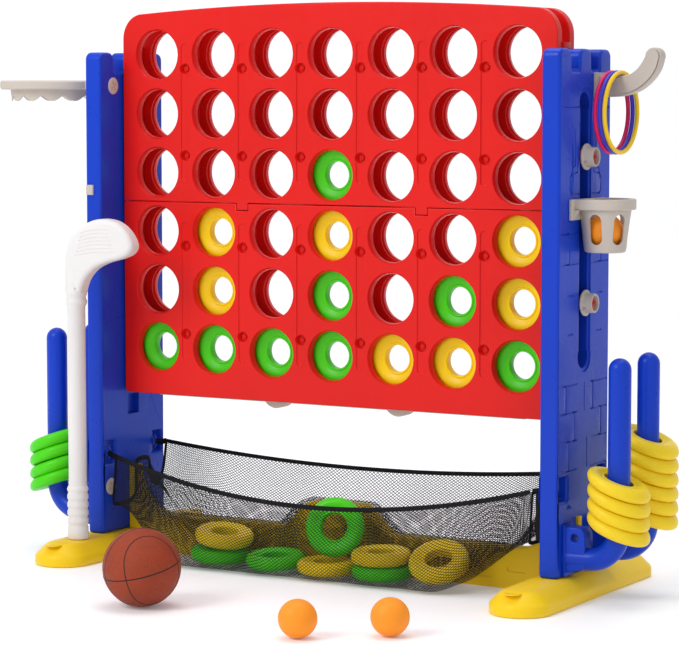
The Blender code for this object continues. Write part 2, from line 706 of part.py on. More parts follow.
def net_section(x):
    """Points of the net across the stand at x: front edge, front pocket, over the bar, rear pocket."""
    end = ease(abs(x), 0.27, 0.46)
    sag = 1 - (x / 0.46) ** 2
    ridge = max(crossbar_height(x - 0.012), crossbar_height(x), crossbar_height(x + 0.012)) + 0.004
    ridge += 0.045 * ease(abs(x), 0.37, 0.44)
    front_y = -0.092 - 0.026 * sag
    front_z = 0.198 - 0.062 * sag
    floor_z = 0.0050 + 0.100 * end
    bulge = -0.161 + 0.058 * end
    return [(front_y, front_z), (bulge + 0.004, (front_z + floor_z) / 2 + 0.004),
            (bulge, floor_z + 0.018 * (1 - end) + 0.004), (-0.151 + 0.060 * end, floor_z), (-0.060, floor_z),
            (-0.0265, floor_z + 0.002), (-0.0240, ridge), (0.0240, ridge), (0.034, 0.5 * (ridge + floor_z)),
            (0.060, floor_z + 0.030), (0.085 + 0.006 * sag, 0.210 - 0.026 * sag)]


def build_net():
    """Disc-catching net as one thin draped sheet hung between the towers."""
    half = 0.0008
    stations = [index / 10 * 0.452 for index in range(-10, 11)]
    rings = []
    for x in stations:
        points = net_section(x)
        offset = []
        for index, (y, z) in enumerate(points):
            before, after = points[max(index - 1, 0)], points[min(index + 1, len(points) - 1)]
            along = Vector((after[0] - before[0], after[1] - before[1])).normalized()
            offset.append((y - along.y * half, z + along.x * half, y + along.y * half, z - along.x * half))
        ring = [(x, y, z) for y, z, _, _ in offset]
        ring += [(x, y, z) for _, _, y, z in reversed(offset)]
        rings.append(ring)
    loft("net", rings, NETTING)


# ---------------------------------------------------------------- balls and club

def build_balls():
    balls = (("basket_ball", ORANGE, BALL_RADIUS, (BASKET_X, 0.0, BASKET_FLOOR + 0.0035 + BALL_RADIUS), 12, 8),
             ("loose_ball_left", ORANGE, BALL_RADIUS, (0.269, -0.602, BALL_RADIUS), 12, 8),
             ("loose_ball_right", ORANGE, BALL_RADIUS, (0.396, -0.510, BALL_RADIUS), 12, 8),
             ("basketball", LEATHER, BASKETBALL_RADIUS, (-0.117, -0.502, BASKETBALL_RADIUS), 16, 10))
    for name, spec, radius, place, segments, rings in balls:
        bm = bmesh.new()
        bmesh.ops.create_uvsphere(bm, u_segments=segments, v_segments=rings, radius=radius)
        add_object(name, mesh_from(bm, name), spec, place)


def build_club():
    """Toy club stood upside down on the left foot: grip below, broad grooved blade on top."""
    base = FOOT_HEIGHT + GAP
    profile = [(0.0, 0.0), (0.018, 0.0), (0.021, 0.004), (0.021, 0.103), (0.0185, 0.106), (0.0185, 0.463),
               (0.0215, 0.466), (0.0215, 0.488), (0.0190, 0.491), (0.0190, 0.540), (0.0, 0.540)]
    club = turned("club", profile_mesh("club", profile), 12, WHITE, (CLUB_X, CLUB_Y, base))
    blade = [(-0.0190, 0.500), (0.0230, 0.500), (0.0340, 0.519), (0.0520, 0.535), (0.0800, 0.546), (0.1100, 0.5545),
             (0.1330, 0.563), (0.1420, 0.578), (0.1330, 0.598), (0.1170, 0.616), (0.0980, 0.6275), (0.0720, 0.631),
             (0.0480, 0.627), (0.0240, 0.617), (0.0050, 0.603), (-0.0090, 0.583), (-0.0170, 0.548)]
    place = Matrix.Translation((CLUB_X, 0, base - 0.0005)) @ upright_xz(CLUB_Y)
    combine(club, plate("club blade", [blade], 0.036, WHITE, place), "UNION")


def main():
    clear_scene()
    build_panels()
    build_side_rails()
    build_slider()
    build_nuts()
    build_board_discs()
    build_net_discs()
    build_peg_stacks()
    build_towers()
    build_feet()
    build_crossbar()
    build_pegs()
    build_hoop()
    build_basket()
    build_ring_hook()
    build_toss_rings()
    build_screws()
    build_net()
    build_balls()
    build_club()


main()
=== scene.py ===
"""Looks of the giant four in a row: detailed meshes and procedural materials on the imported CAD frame."""

import json
import random
from math import acos, copysign, cos, degrees, pi, radians, sin, sqrt

import bmesh
import bpy
import numpy as np
from mathutils import Matrix, Vector


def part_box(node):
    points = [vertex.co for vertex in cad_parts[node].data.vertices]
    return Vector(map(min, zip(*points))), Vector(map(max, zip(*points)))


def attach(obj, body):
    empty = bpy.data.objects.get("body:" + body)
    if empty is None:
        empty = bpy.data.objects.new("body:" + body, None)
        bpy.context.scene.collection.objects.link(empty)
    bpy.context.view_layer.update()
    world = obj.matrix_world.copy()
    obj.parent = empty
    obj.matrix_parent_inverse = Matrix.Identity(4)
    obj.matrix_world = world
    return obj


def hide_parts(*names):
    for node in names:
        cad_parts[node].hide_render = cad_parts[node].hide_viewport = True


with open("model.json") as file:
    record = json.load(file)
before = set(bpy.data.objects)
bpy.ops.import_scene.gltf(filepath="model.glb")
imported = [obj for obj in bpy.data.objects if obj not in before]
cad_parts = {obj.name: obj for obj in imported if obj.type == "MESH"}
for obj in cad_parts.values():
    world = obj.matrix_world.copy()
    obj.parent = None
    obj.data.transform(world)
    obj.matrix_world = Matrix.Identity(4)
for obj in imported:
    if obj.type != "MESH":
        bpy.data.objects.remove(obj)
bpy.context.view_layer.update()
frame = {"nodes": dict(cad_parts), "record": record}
CAD_NODES = set(frame["nodes"])
BODY_OF = {}
for body_name, body_nodes in frame["record"]["behaviour"]["bodies"].items():
    for node_name in body_nodes:
        BODY_OF[node_name] = body_name
random.seed(4)


def centre(node):
    low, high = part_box(node)
    return (Vector(low) + Vector(high)) / 2


def size(node):
    low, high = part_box(node)
    return Vector(high) - Vector(low)


shift = Matrix.Translation


def rotate(angle, axis):
    return Matrix.Rotation(angle, 4, axis)


def placed(name, data):
    """New object with this data, linked to the scene."""
    obj = bpy.data.objects.new(name, data)
    bpy.context.scene.collection.objects.link(obj)
    return obj


def mesh_of(bm, name):
    """Finished mesh of a bmesh."""
    mesh = bpy.data.meshes.new(name)
    bm.to_mesh(mesh)
    bm.free()
    return mesh


# --- materials


class Graph:
    """Small helper that wires shader nodes by short calls."""

    def __init__(self, name, slot=None):
        self.material = bpy.data.materials.new(name)
        self.material.use_nodes = True
        self.tree = self.material.node_tree
        self.bsdf = self.tree.nodes["Principled BSDF"]
        self.coords = self.tree.nodes.new("ShaderNodeTexCoord")

    def add(self, kind, **values):
        node = self.tree.nodes.new(kind)
        for key, value in values.items():
            if key.startswith("in_"):
                node.inputs[key[3:].replace("_", " ")].default_value = value
            else:
                setattr(node, key, value)
        return node

    def link(self, source, target):
        self.tree.links.new(source, target)

    def feed(self, source, socket):
        self.link(source, self.bsdf.inputs[socket])

    def fix(self, socket, value):
        self.bsdf.inputs[socket].default_value = value

    def noise(self, scale, detail=3.0, roughness=0.5, distortion=0.0):
        node = self.add("ShaderNodeTexNoise", in_Scale=scale, in_Detail=detail, in_Roughness=roughness,
                        in_Distortion=distortion)
        self.link(self.coords.outputs["Object"], node.inputs["Vector"])
        return node.outputs["Fac"]

    def ramp(self, source, low, high, from_low=0.3, from_high=0.7):
        node = self.add("ShaderNodeMapRange")
        limits = {"From Min": from_low, "From Max": from_high, "To Min": low, "To Max": high}
        for socket, value in limits.items():
            node.inputs[socket].default_value = value
        self.link(source, node.inputs["Value"])
        return node.outputs["Result"]

    def mix(self, factor, first, second):
        node = self.add("ShaderNodeMix", data_type="RGBA")
        for socket, value in ((6, first), (7, second)):
            if isinstance(value, tuple):
                node.inputs[socket].default_value = (*value, 1.0)
            else:
                self.link(value, node.inputs[socket])
        if isinstance(factor, float):
            node.inputs[0].default_value = factor
        else:
            self.link(factor, node.inputs[0])
        return node.outputs[2]

    def bump(self, height, strength, distance, after=None):
        node = self.add("ShaderNodeBump", in_Strength=strength, in_Distance=distance)
        self.link(height, node.inputs["Height"])
        if after is not None:
            self.link(after, node.inputs["Normal"])
        return node.outputs["Normal"]


def shade(colour, factor):
    return tuple(min(1.0, max(0.0, channel * factor)) for channel in colour)


def plastic(name, slot, colour, rough=0.34, grain=0.1, wave=0.1):
    """Moulded plastic: faint pigment mottling, pebble grain and long scuffs."""
    g = Graph(name, slot)
    mottle = g.ramp(g.noise(3.2, 4.0), 0.0, 1.0)
    base = g.mix(mottle, shade(colour, 0.93), shade(colour, 1.05))
    speck = g.ramp(g.noise(420.0, 2.0), 0.0, 0.1, 0.45, 0.72)
    base = g.mix(speck, base, shade(colour, 0.72))
    g.feed(base, "Base Color")
    scuffs = g.ramp(g.noise(26.0, 6.0, 0.7, 2.2), -0.05, 0.09, 0.35, 0.75)
    rough_mix = g.add("ShaderNodeMath", operation="ADD")
    rough_mix.inputs[1].default_value = rough
    g.link(scuffs, rough_mix.inputs[0])
    g.feed(rough_mix.outputs[0], "Roughness")
    fine = g.bump(g.noise(1500.0, 2.0), grain, 0.0006)
    broad = g.bump(g.noise(16.0, 2.0), wave, 0.004, fine)
    g.feed(broad, "Normal")
    g.fix("IOR", 1.48)
    g.fix("Specular IOR Level", 0.24)
    return g.material


def pebbled(name, slot, colour):
    """Basketball cover: raised pebbles a couple of millimetres apart, with painted shade darkening the
    valleys between them.
    """
    g = Graph(name, slot)
    cells = g.add("ShaderNodeTexVoronoi", in_Scale=520.0)
    g.link(g.coords.outputs["Object"], cells.inputs["Vector"])
    base = g.mix(g.ramp(g.noise(14.0, 4.0), 0.0, 1.0), shade(colour, 0.82), shade(colour, 1.12))
    # painted shade: the colour darkens towards the edge of each pebble cell, in the valleys between the
    # pebbles
    base = g.mix(g.ramp(cells.outputs["Distance"], 0.0, 0.45, 0.3, 0.9), base, shade(colour, 0.45))
    g.feed(base, "Base Color")
    g.feed(g.ramp(g.noise(60.0, 4.0), 0.48, 0.66), "Roughness")
    g.fix("Specular IOR Level", 0.25)
    g.feed(g.bump(g.ramp(cells.outputs["Distance"], 1.0, 0.0, 0.0, 0.8), 0.55, 0.0009), "Normal")
    return g.material


def woven(name, slot, colour, scale):
    """Thread or webbing: fine twill ridges with painted highlight on their crests and painted shade in their
    hollows, and a little lint.
    """
    g = Graph(name, slot)
    wave = g.add("ShaderNodeTexWave", in_Scale=scale, in_Distortion=1.2)
    g.link(g.coords.outputs["Object"], wave.inputs["Vector"])
    # painted highlight and shade: the colour runs from darker in the twill's hollows to lighter on its
    # crests, following the wave that also drives the bump
    base = g.mix(g.ramp(wave.outputs["Fac"], 0.0, 1.0, 0.0, 1.0), shade(colour, 0.6), shade(colour, 1.5))
    lint = g.ramp(g.noise(900.0, 2.0), 0.0, 0.25, 0.58, 0.75)
    base = g.mix(lint, base, (0.035, 0.035, 0.038))
    g.feed(base, "Base Color")
    g.feed(g.ramp(g.noise(300.0), 0.68, 0.88), "Roughness")
    g.feed(g.bump(wave.outputs["Fac"], 0.35, 0.0004), "Normal")
    g.fix("Specular IOR Level", 0.15)
    return g.material


def floor_material():
    """Pale studio sweep; its back is see-through, so that views from behind still see the set."""
    g = Graph("studio floor")
    shader = g.add("ShaderNodeMixShader")
    g.link(g.add("ShaderNodeNewGeometry").outputs["Backfacing"], shader.inputs[0])
    g.link(g.add("ShaderNodeBsdfTransparent").outputs[0], shader.inputs[1])
    g.link(g.bsdf.outputs[0], shader.inputs[2])
    g.link(shader.outputs[0], g.tree.nodes["Material Output"].inputs["Surface"])
    pale = g.mix(g.ramp(g.noise(0.8), 0.0, 1.0), (0.93, 0.93, 0.935), (0.96, 0.96, 0.96))
    g.feed(pale, "Base Color")
    g.fix("Emission Color", (1.0, 1.0, 1.0, 1.0))
    g.fix("Emission Strength", 0.1)
    g.feed(g.ramp(g.noise(5.0), 0.5, 0.62), "Roughness")
    return g.material


RED = plastic("red plastic", "red_plastic", (0.7, 0.009, 0.006), 0.34)
BLUE = plastic("blue plastic", "blue_plastic", (0.004, 0.044, 0.5), 0.32)
YELLOW = plastic("yellow plastic", "yellow_plastic", (0.9, 0.6, 0.01), 0.36)
DISC_YELLOW = plastic("disc yellow", "yellow_plastic", (0.95, 0.68, 0.006), 0.33, wave=0.05)
STACK_YELLOW = plastic("stack yellow", "yellow_plastic", (0.88, 0.63, 0.02), 0.36, wave=0.05)
DISC_GREEN = plastic("disc green", "green_plastic", (0.075, 0.66, 0.008), 0.33, wave=0.05)
BEIGE = plastic("beige plastic", "beige_plastic", (0.54, 0.475, 0.41), 0.44, grain=0.16)
WHITE = plastic("white plastic", "white_plastic", (0.76, 0.735, 0.72), 0.4)
ORANGE = plastic("orange plastic", "orange_plastic", (1.0, 0.31, 0.02), 0.48, grain=0.05)
PINK = plastic("pink plastic", "pink_plastic", (0.8, 0.01, 0.13), 0.38)
VIOLET = plastic("violet plastic", "violet_plastic", (0.055, 0.05, 0.56), 0.38)
RING_YELLOW = plastic("ring yellow", "yellow_plastic", (0.92, 0.58, 0.015), 0.38)
PEBBLE = pebbled("basketball cover", "ball_rubber", (0.33, 0.046, 0.014))
SEAM = plastic("black seam", "ball_rubber", (0.012, 0.011, 0.012), 0.55)
THREAD = woven("net thread", "black_netting", (0.01, 0.01, 0.011), 700.0)
WEBBING = woven("net binding", "black_netting", (0.008, 0.008, 0.01), 420.0)



# --- mesh helpers

def link_mesh(name, mesh, material, angle=35):
    obj = placed(name, mesh)
    if not mesh.materials:
        mesh.materials.append(material)
    mesh.shade_smooth()
    mesh.set_sharp_from_angle(angle=radians(angle))
    return obj


def keep(obj, node, replace=True):
    """Parent a finished piece to its node's body, so that it rides with that body; unless replace is off,
    hide the node so the piece takes its place.
    """
    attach(obj, BODY_OF[node])
    if replace:
        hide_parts(node)
    return obj


def keep_all(node, first, *others):
    keep(first, node)
    for piece in others:
        keep(piece, node, replace=False)


def from_bmesh(name, bm, material, angle=35):
    bmesh.ops.recalc_face_normals(bm, faces=bm.faces)
    return link_mesh(name, mesh_of(bm, name), material, angle)


def arc(centre_xy, radius, start, end, steps):
    points = []
    for step in range(steps + 1):
        angle = radians(start + (end - start) * step / steps)
        points.append((centre_xy[0] + radius * cos(angle), centre_xy[1] + radius * sin(angle)))
    return points


def circle(centre_xy, radius, steps):
    return arc(centre_xy, radius, 0, 360, steps)[:-1]


def rectangle(left, right, low, high, corner=0.0, steps=4):
    if not corner:
        return [(left, low), (right, low), (right, high), (left, high)]
    points = arc((right - corner, low + corner), corner, -90, 0, steps)
    points += arc((right - corner, high - corner), corner, 0, 90, steps)
    points += arc((left + corner, high - corner), corner, 90, 180, steps)
    return points + arc((left + corner, low + corner), corner, 180, 270, steps)


UPRIGHT_XZ = rotate(pi / 2, "X")
UPRIGHT_YZ = Matrix(((0, 0, 1, 0), (1, 0, 0, 0), (0, 1, 0, 0), (0, 0, 0, 1)))


def curve_mesh(curve, name):
    """Mesh of a curve, in the curve's own space, with its caps welded on."""
    holder = placed(name, curve)
    bpy.context.view_layer.update()
    mesh = bpy.data.meshes.new_from_object(holder.evaluated_get(bpy.context.evaluated_depsgraph_get()))
    bpy.data.objects.remove(holder)
    bm = bmesh.new()
    bm.from_mesh(mesh)
    bmesh.ops.remove_doubles(bm, verts=bm.verts, dist=0.00001)
    bmesh.ops.recalc_face_normals(bm, faces=bm.faces)
    bm.to_mesh(mesh)
    bm.free()
    mesh.materials.clear()
    mesh.name = name
    return mesh


def plate_mesh(name, loops, thickness, round_edge, matrix, resolution=2):
    """Flat outline with holes and rounded edges, extruded evenly about its plane."""
    curve = bpy.data.curves.new(name, "CURVE")
    curve.dimensions = "2D"
    curve.fill_mode = "BOTH"
    curve.extrude = thickness / 2 - round_edge
    curve.bevel_depth = round_edge
    curve.bevel_resolution = resolution
    curve.offset = -round_edge
    for loop in loops:
        spline = curve.splines.new("POLY")
        spline.points.add(len(loop) - 1)
        for point, (x, y) in zip(spline.points, loop):
            point.co = (x, y, 0, 1)
        spline.use_cyclic_u = True
    mesh = curve_mesh(curve, name)
    mesh.transform(matrix)
    return mesh


def plate(name, loops, thickness, round_edge, matrix, material, resolution=2):
    return link_mesh(name, plate_mesh(name, loops, thickness, round_edge, matrix, resolution), material, 30)


def tube_mesh(name, points, radius, taper=None, resolution=6, cyclic=False, smooth=False):
    curve = bpy.data.curves.new(name, "CURVE")
    curve.dimensions = "3D"
    curve.bevel_depth = radius
    curve.bevel_resolution = resolution
    curve.use_fill_caps = True
    curve.resolution_u = 10
    if smooth:
        spline = curve.splines.new("BEZIER")
        spline.bezier_points.add(len(points) - 1)
        for point, co in zip(spline.bezier_points, points):
            point.co = co
            point.handle_left_type = "AUTO"
            point.handle_right_type = "AUTO"
    else:
        spline = curve.splines.new("POLY")
        spline.points.add(len(points) - 1)
        for index, co in enumerate(points):
            spline.points[index].co = (*co, 1)
            spline.points[index].radius = taper[index] if taper else 1.0
    spline.use_cyclic_u = cyclic
    return curve_mesh(curve, name)


def lathe_mesh(name, profile, steps, matrix=None):
    """Solid of revolution about Z from a closed (radius, height) profile."""
    bm = bmesh.new()
    rings = []
    for step in range(steps):
        angle = 2 * pi * step / steps
        rings.append([bm.verts.new((r * cos(angle), r * sin(angle), z)) for r, z in profile])
    count = len(profile)
    for step in range(steps):
        here, there = rings[step], rings[(step + 1) % steps]
        for index in range(count):
            nxt = (index + 1) % count
            if profile[index][0] < 1e-6 and profile[nxt][0] < 1e-6:
                continue
            bm.faces.new((here[index], there[index], there[nxt], here[nxt]))
    bmesh.ops.remove_doubles(bm, verts=bm.verts, dist=0.00001)
    bmesh.ops.dissolve_degenerate(bm, edges=bm.edges, dist=0.00001)
    bmesh.ops.recalc_face_normals(bm, faces=bm.faces)
    if matrix is not None:
        bm.transform(matrix)
    return mesh_of(bm, name)


def merged(name, meshes):
    """Several separate closed meshes as one."""
    bm = bmesh.new()
    for mesh in meshes:
        bm.from_mesh(mesh)
    return mesh_of(bm, name)


def joined(name, meshes, material, angle=35):
    """One object from several meshes."""
    return link_mesh(name, merged(name, meshes), material, angle)


def box_mesh(name, low, high, bevel=0.0, segments=2):
    low, high = Vector(low), Vector(high)
    bm = bmesh.new()
    bmesh.ops.create_cube(bm, size=1.0, matrix=shift((low + high) / 2) @
                          Matrix.Diagonal((*(high - low), 1.0)))
    if bevel:
        bmesh.ops.bevel(bm, geom=bm.edges[:], offset=bevel, segments=segments, affect="EDGES", profile=0.6)
    return mesh_of(bm, name)


def carve(obj, meshes, crossing=False):
    """Cut helper meshes from a body one by one; crossing means that a helper's own parts overlap."""
    for mesh in meshes:
        helper = placed("helper", mesh)
        modifier = obj.modifiers.new("carve", "BOOLEAN")
        modifier.operation = "DIFFERENCE"
        modifier.solver = "EXACT"
        modifier.use_self = crossing
        modifier.object = helper
        bpy.context.view_layer.update()
        result = bpy.data.meshes.new_from_object(obj.evaluated_get(bpy.context.evaluated_depsgraph_get()))
        obj.modifiers.clear()
        obj.data = result
        bpy.data.objects.remove(helper)
    obj.data.shade_smooth()
    obj.data.set_sharp_from_angle(angle=radians(32))
    weigh = obj.modifiers.new("weigh", "WEIGHTED_NORMAL")
    weigh.keep_sharp = True
    return obj


# --- board

COLUMN_PITCH = centre("disc_c2_r1").x - centre("disc_c1_r1").x
ROW_PITCH = centre("disc_c2_r2").z - centre("disc_c2_r1").z
BOARD_X = size("board_front_lower").x / 2
BOARD_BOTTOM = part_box("board_front_lower")[0][2]
BOARD_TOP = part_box("board_front_upper")[1][2]
SEAM_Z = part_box("board_front_lower")[1][2] + 0.0003
FRONT_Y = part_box("board_front_lower")[0][1]
PANEL = size("board_front_lower").y
ROW_1 = centre("disc_c1_r1").z
SHOULDER = BOARD_TOP - 0.0646
CORNER = 0.045
HOLE = 0.0478
GROOVES_Z = {"upper": (0.745, 1.012), "lower": (0.392, 0.664)}
DIMPLES_Z = {"upper": (0.963, 0.794), "lower": (0.617, 0.4435)}

DIMPLE_PROFILE = [(0.0, -0.004), (0.0128, -0.004), (0.0118, 0.0), (0.0104, 0.0024), (0.0086, 0.01),
                  (0.0, 0.01)]
SCREW_PROFILE = [(0.0, -0.001), (0.0052, -0.001), (0.0052, 0.001), (0.004, 0.0026), (0.0, 0.003)]


def column_x(column):
    return (column - 4) * COLUMN_PITCH


def row_z(row):
    return ROW_1 + (row - 1) * ROW_PITCH


def arch_z(x):
    return BOARD_TOP - 0.0195 * (x / BOARD_X) ** 2


def board_crown():
    inner = BOARD_X - CORNER
    corner = []
    for step in range(13):
        angle = radians(90 * step / 12)
        z = SHOULDER + (arch_z(inner) - SHOULDER) * sin(angle)
        corner.append((inner + CORNER * cos(angle), z))
    arch = []
    for step in range(1, 24):
        x = inner - 2 * inner * step / 24
        arch.append((x, arch_z(x)))
    return corner + arch + [(-x, z) for x, z in reversed(corner)]


def panel_outline(half):
    tongue, depth = 0.0125, 0.013
    middles = (-1.5 * COLUMN_PITCH, 1.5 * COLUMN_PITCH)
    if half == "upper":
        outline = board_crown() + [(-BOARD_X, SEAM_Z + 0.0005)]
        for x in middles:
            left = SEAM_Z + (0.001 if x > 0 else 0.0005)
            right = SEAM_Z + (0.001 if x < 0 else 0.0005)
            outline += [(x - tongue, left), (x - tongue, SEAM_Z - depth), (x + tongue, SEAM_Z - depth),
                        (x + tongue, right)]
        return outline + [(BOARD_X, SEAM_Z + 0.0005)]
    slack = tongue + 0.0008
    outline = arc((-BOARD_X + 0.01, BOARD_BOTTOM + 0.01), 0.01, 180, 270, 5)
    outline += arc((BOARD_X - 0.01, BOARD_BOTTOM + 0.01), 0.01, 270, 360, 5)
    outline.append((BOARD_X, SEAM_Z - 0.0005))
    for x in reversed(middles):
        outline += [(x + slack, SEAM_Z - 0.0005), (x + slack, SEAM_Z - depth - 0.0012),
                    (x - slack, SEAM_Z - depth - 0.0012), (x - slack, SEAM_Z - 0.0005)]
    return outline + [(-BOARD_X, SEAM_Z - 0.0005)]


def hole_cutter(x, z, outer_y, inner_y):
    """Cutter for a viewing hole: cone at the face, straight land, shallow inner step."""
    sign = 1 if inner_y > outer_y else -1
    depth = abs(inner_y - outer_y)
    profile = [(0.0, -0.004), (HOLE + 0.004, -0.004), (HOLE + 0.0022, 0.0), (HOLE + 0.0008, 0.0016),
               (HOLE - 0.0008, 0.0075), (HOLE - 0.001, depth - 0.007), (HOLE + 0.0016, depth - 0.0065),
               (HOLE + 0.0016, depth + 0.004), (0.0, depth + 0.004)]
    turn = rotate(-sign * pi / 2, "X")
    return lathe_mesh("hole", profile, 56, shift((x, outer_y, z)) @ turn)


def build_panel(face, half):
    node = f"board_{face}_{half}"
    low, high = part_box(node)
    outer, inner = (low[1], high[1]) if face == "front" else (high[1], low[1])
    middle = (outer + inner) / 2
    matrix = shift((0, middle, 0)) @ UPRIGHT_XZ
    panel = plate("panel_" + face + "_" + half, [panel_outline(half)], PANEL, 0.0022, matrix, RED)
    rows = range(4, 7) if half == "upper" else range(1, 4)
    holes = [hole_cutter(column_x(c), row_z(r), outer, inner) for c in range(1, 8) for r in rows]
    sign = 1 if inner > outer else -1
    grooves = []
    dimples = []
    g_low, g_high = GROOVES_Z[half]
    for index in range(1, 7):
        x = column_x(index) + COLUMN_PITCH / 2
        outline = rectangle(x - 0.0088, x + 0.0088, g_low, g_high, 0.0084)
        place = shift((0, outer, 0)) @ UPRIGHT_XZ
        grooves.append(plate_mesh("groove", [outline], 0.0044, 0.002, place, 2))
        for z in DIMPLES_Z[half]:
            turn = shift((x, outer, z)) @ rotate(-sign * pi / 2, "X")
            dimples.append(lathe_mesh("dimple", DIMPLE_PROFILE, 24, turn))
    carve(panel, [merged("holes", holes), merged("grooves", grooves), merged("dimples", dimples)])
    keep(panel, node)
    screws = []
    for index in range(1, 7):
        x = column_x(index) + COLUMN_PITCH / 2
        for z in DIMPLES_Z[half]:
            turn = shift((x, outer + sign * 0.009, z)) @ rotate(sign * pi / 2, "X")
            turn = turn @ rotate(random.uniform(0, 1.5), "Z")
            screws.append(lathe_mesh("head", SCREW_PROFILE, 20, turn))
            for quarter in (0, 1):
                bar = box_mesh("cross", (-0.0034, -0.0006, 0.0026), (0.0034, 0.0006, 0.0035), 0.0002, 1)
                bar.transform(turn @ rotate(quarter * pi / 2, "Z"))
                screws.append(bar)
    keep(joined(f"panel_screws_{face}_{half}", screws, RED), node, replace=False)


def build_board():
    for face in ("front", "back"):
        for half in ("upper", "lower"):
            build_panel(face, half)
    channel = -FRONT_Y - PANEL
    ribs = []
    for index in range(1, 7):
        x = column_x(index) + COLUMN_PITCH / 2
        for low, high in ((BOARD_BOTTOM + 0.05, SEAM_Z - 0.004), (SEAM_Z + 0.004, BOARD_TOP - 0.05)):
            for sign in (-1, 1):
                ys = sorted((sign * (channel + 0.0005), sign * 0.0018))
                ribs.append(box_mesh("rib", (x - 0.0042, ys[0], low), (x + 0.0042, ys[1], high), 0.0012))
    keep(joined("column_ribs", ribs, RED), "board_front_lower", replace=False)
    for side, sign in (("left", -1), ("right", 1)):
        node = f"side_rail_{side}"
        low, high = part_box(node)
        depth = size(node).y / 2
        inner = 0.46
        wall = [(inner, low[2]), (BOARD_X - 0.0003, low[2]), (BOARD_X - 0.0003, high[2] - 0.0105),
                (0.478, high[2] - 0.0105), (0.478, high[2]), (inner, high[2])]
        wall = [(sign * x, z) for x, z in wall]
        meshes = [plate_mesh("rail", [wall], 2 * depth, 0.0012, UPRIGHT_XZ, 1)]
        for z in (centre("nut_left_upper").z, centre("nut_left_lower").z):
            reach = max(abs(low[0]), abs(high[0]))
            turn = shift((sign * 0.47, 0, z)) @ rotate(sign * pi / 2, "Y")
            length = reach - 0.47
            core = [(0.0, 0.0), (0.012, 0.0), (0.012, length - 0.014), (0.0, length - 0.014)]
            meshes.append(lathe_mesh("core", core, 32, turn))
            for quarter in (0, 1):
                vane = box_mesh("vane", (-0.0125, -0.0024, 0.0), (0.0125, 0.0024, length), 0.0008)
                vane.transform(turn @ rotate(quarter * pi / 2, "Z"))
                meshes.append(vane)
        keep(joined("rail_" + side, meshes, RED), node)
    build_slider()
    for node in sorted(CAD_NODES):
        if node.startswith("nut_"):
            build_nut(node)


def build_slider():
    low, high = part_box("release_slider")
    base = low[2] + 0.0115
    reach, depth, top = high
    meshes = []
    for sign in (-1, 1):
        ys = sorted((sign * depth, sign * (depth - 0.0018)))
        meshes.append(box_mesh("strip", (-reach, ys[0], base), (reach, ys[1], base + 0.024), 0.0006))
    for column in range(1, 8):
        x = column_x(column)
        low, high = (x - 0.008, -depth + 0.001, base), (x + 0.008, depth - 0.001, top)
        meshes.append(box_mesh("bar", low, high, 0.0012))
    for x in (-1.03 * COLUMN_PITCH, 1.03 * COLUMN_PITCH):
        outline = [(x + 0.0255, base + 0.002), (x - 0.0255, base + 0.002)]
        outline += arc((x, base + 0.0185), 0.03, 218, 322, 16)
        meshes.append(plate_mesh("tab", [outline], 2 * depth - 0.001, 0.0014, UPRIGHT_XZ))
    keep(joined("slider", meshes, BEIGE), "release_slider")


def build_nut(node):
    sign = 1 if centre(node).x > 0 else -1
    low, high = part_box(node)
    wall = low[0] if sign > 0 else high[0]
    length = size(node).x
    outer = size(node).z / 2
    profile = [(0.015, 0.0), (outer - 0.001, 0.0), (outer, 0.0008), (outer, 0.003), (outer - 0.001, 0.004),
               (0.0192, 0.0044), (0.0184, 0.0056), (0.0176, length - 0.0012), (0.0168, length),
               (0.015, length), (0.0142, length - 0.001), (0.0142, 0.0008)]
    turn = shift((wall, 0, centre(node).z)) @ rotate(sign * pi / 2, "Y")
    meshes = [lathe_mesh("nut", profile, 56, turn)]
    for index in range(2):
        rib = box_mesh("rib", (-0.0012, 0.0172, 0.004), (0.0012, 0.0218, 0.011), 0.0005)
        rib.transform(turn @ rotate(index * pi + 0.5, "Z"))
        meshes.append(rib)
    keep(joined("grip_" + node, meshes, BEIGE), node)


# --- discs

def disc_section(half, outer, inner):
    """Closed half section of a play disc: fat rounded rim, sloped faces and a raised collar at the hole."""
    points = []
    round_off = half * 0.98
    for step in range(15):
        angle = radians(-90 + 180 * step / 14)
        points.append((outer - round_off + round_off * max(0.0, cos(angle)) ** 0.85, half * sin(angle)))
    points += [(inner + 0.013, half * 0.9), (inner + 0.0072, half * 0.72), (inner + 0.005, half * 0.66),
               (inner + 0.0042, half * 0.74), (inner + 0.0024, half * 0.78), (inner + 0.0006, half * 0.7),
               (inner, half * 0.5)]
    points += [(r, -z) for r, z in reversed(points[15:])]
    return points


DISC_HALF = size("disc_c1_r1").y / 2
DISC_OUTER = size("disc_c1_r1").x / 2
DISC_INNER = 0.0258
DISC_MESH = {}
STACK_SLOPE = 0.36


def disc_mesh(material):
    if material not in DISC_MESH:
        made = lathe_mesh("disc", disc_section(DISC_HALF, DISC_OUTER, DISC_INNER), 72)
        made.materials.append(material)
        made.shade_smooth()
        made.set_sharp_from_angle(angle=radians(50))
        DISC_MESH[material] = made
    return DISC_MESH[material]


def add_disc(name, matrix, node):
    obj = placed(name, disc_mesh(node_material(node)))
    obj.matrix_world = matrix
    return keep(obj, node)


def node_material(node):
    slot = [s["material_slot"] for s in frame["record"]["subparts"] if s["node"] == node][0]
    return DISC_GREEN if slot == "green_plastic" else DISC_YELLOW


# Turn of each caught disc about X, Y and Z, in degrees.
NET_TILTS = {"1": (0, 3, 0), "2": (5, 8, 0), "3": (4, 0, 0), "4": (0, 0, 0),
             "5": (76, 0, 14), "6": (0, 0, 0), "7": (2, 0, 0), "8": (30, 0, 12)}


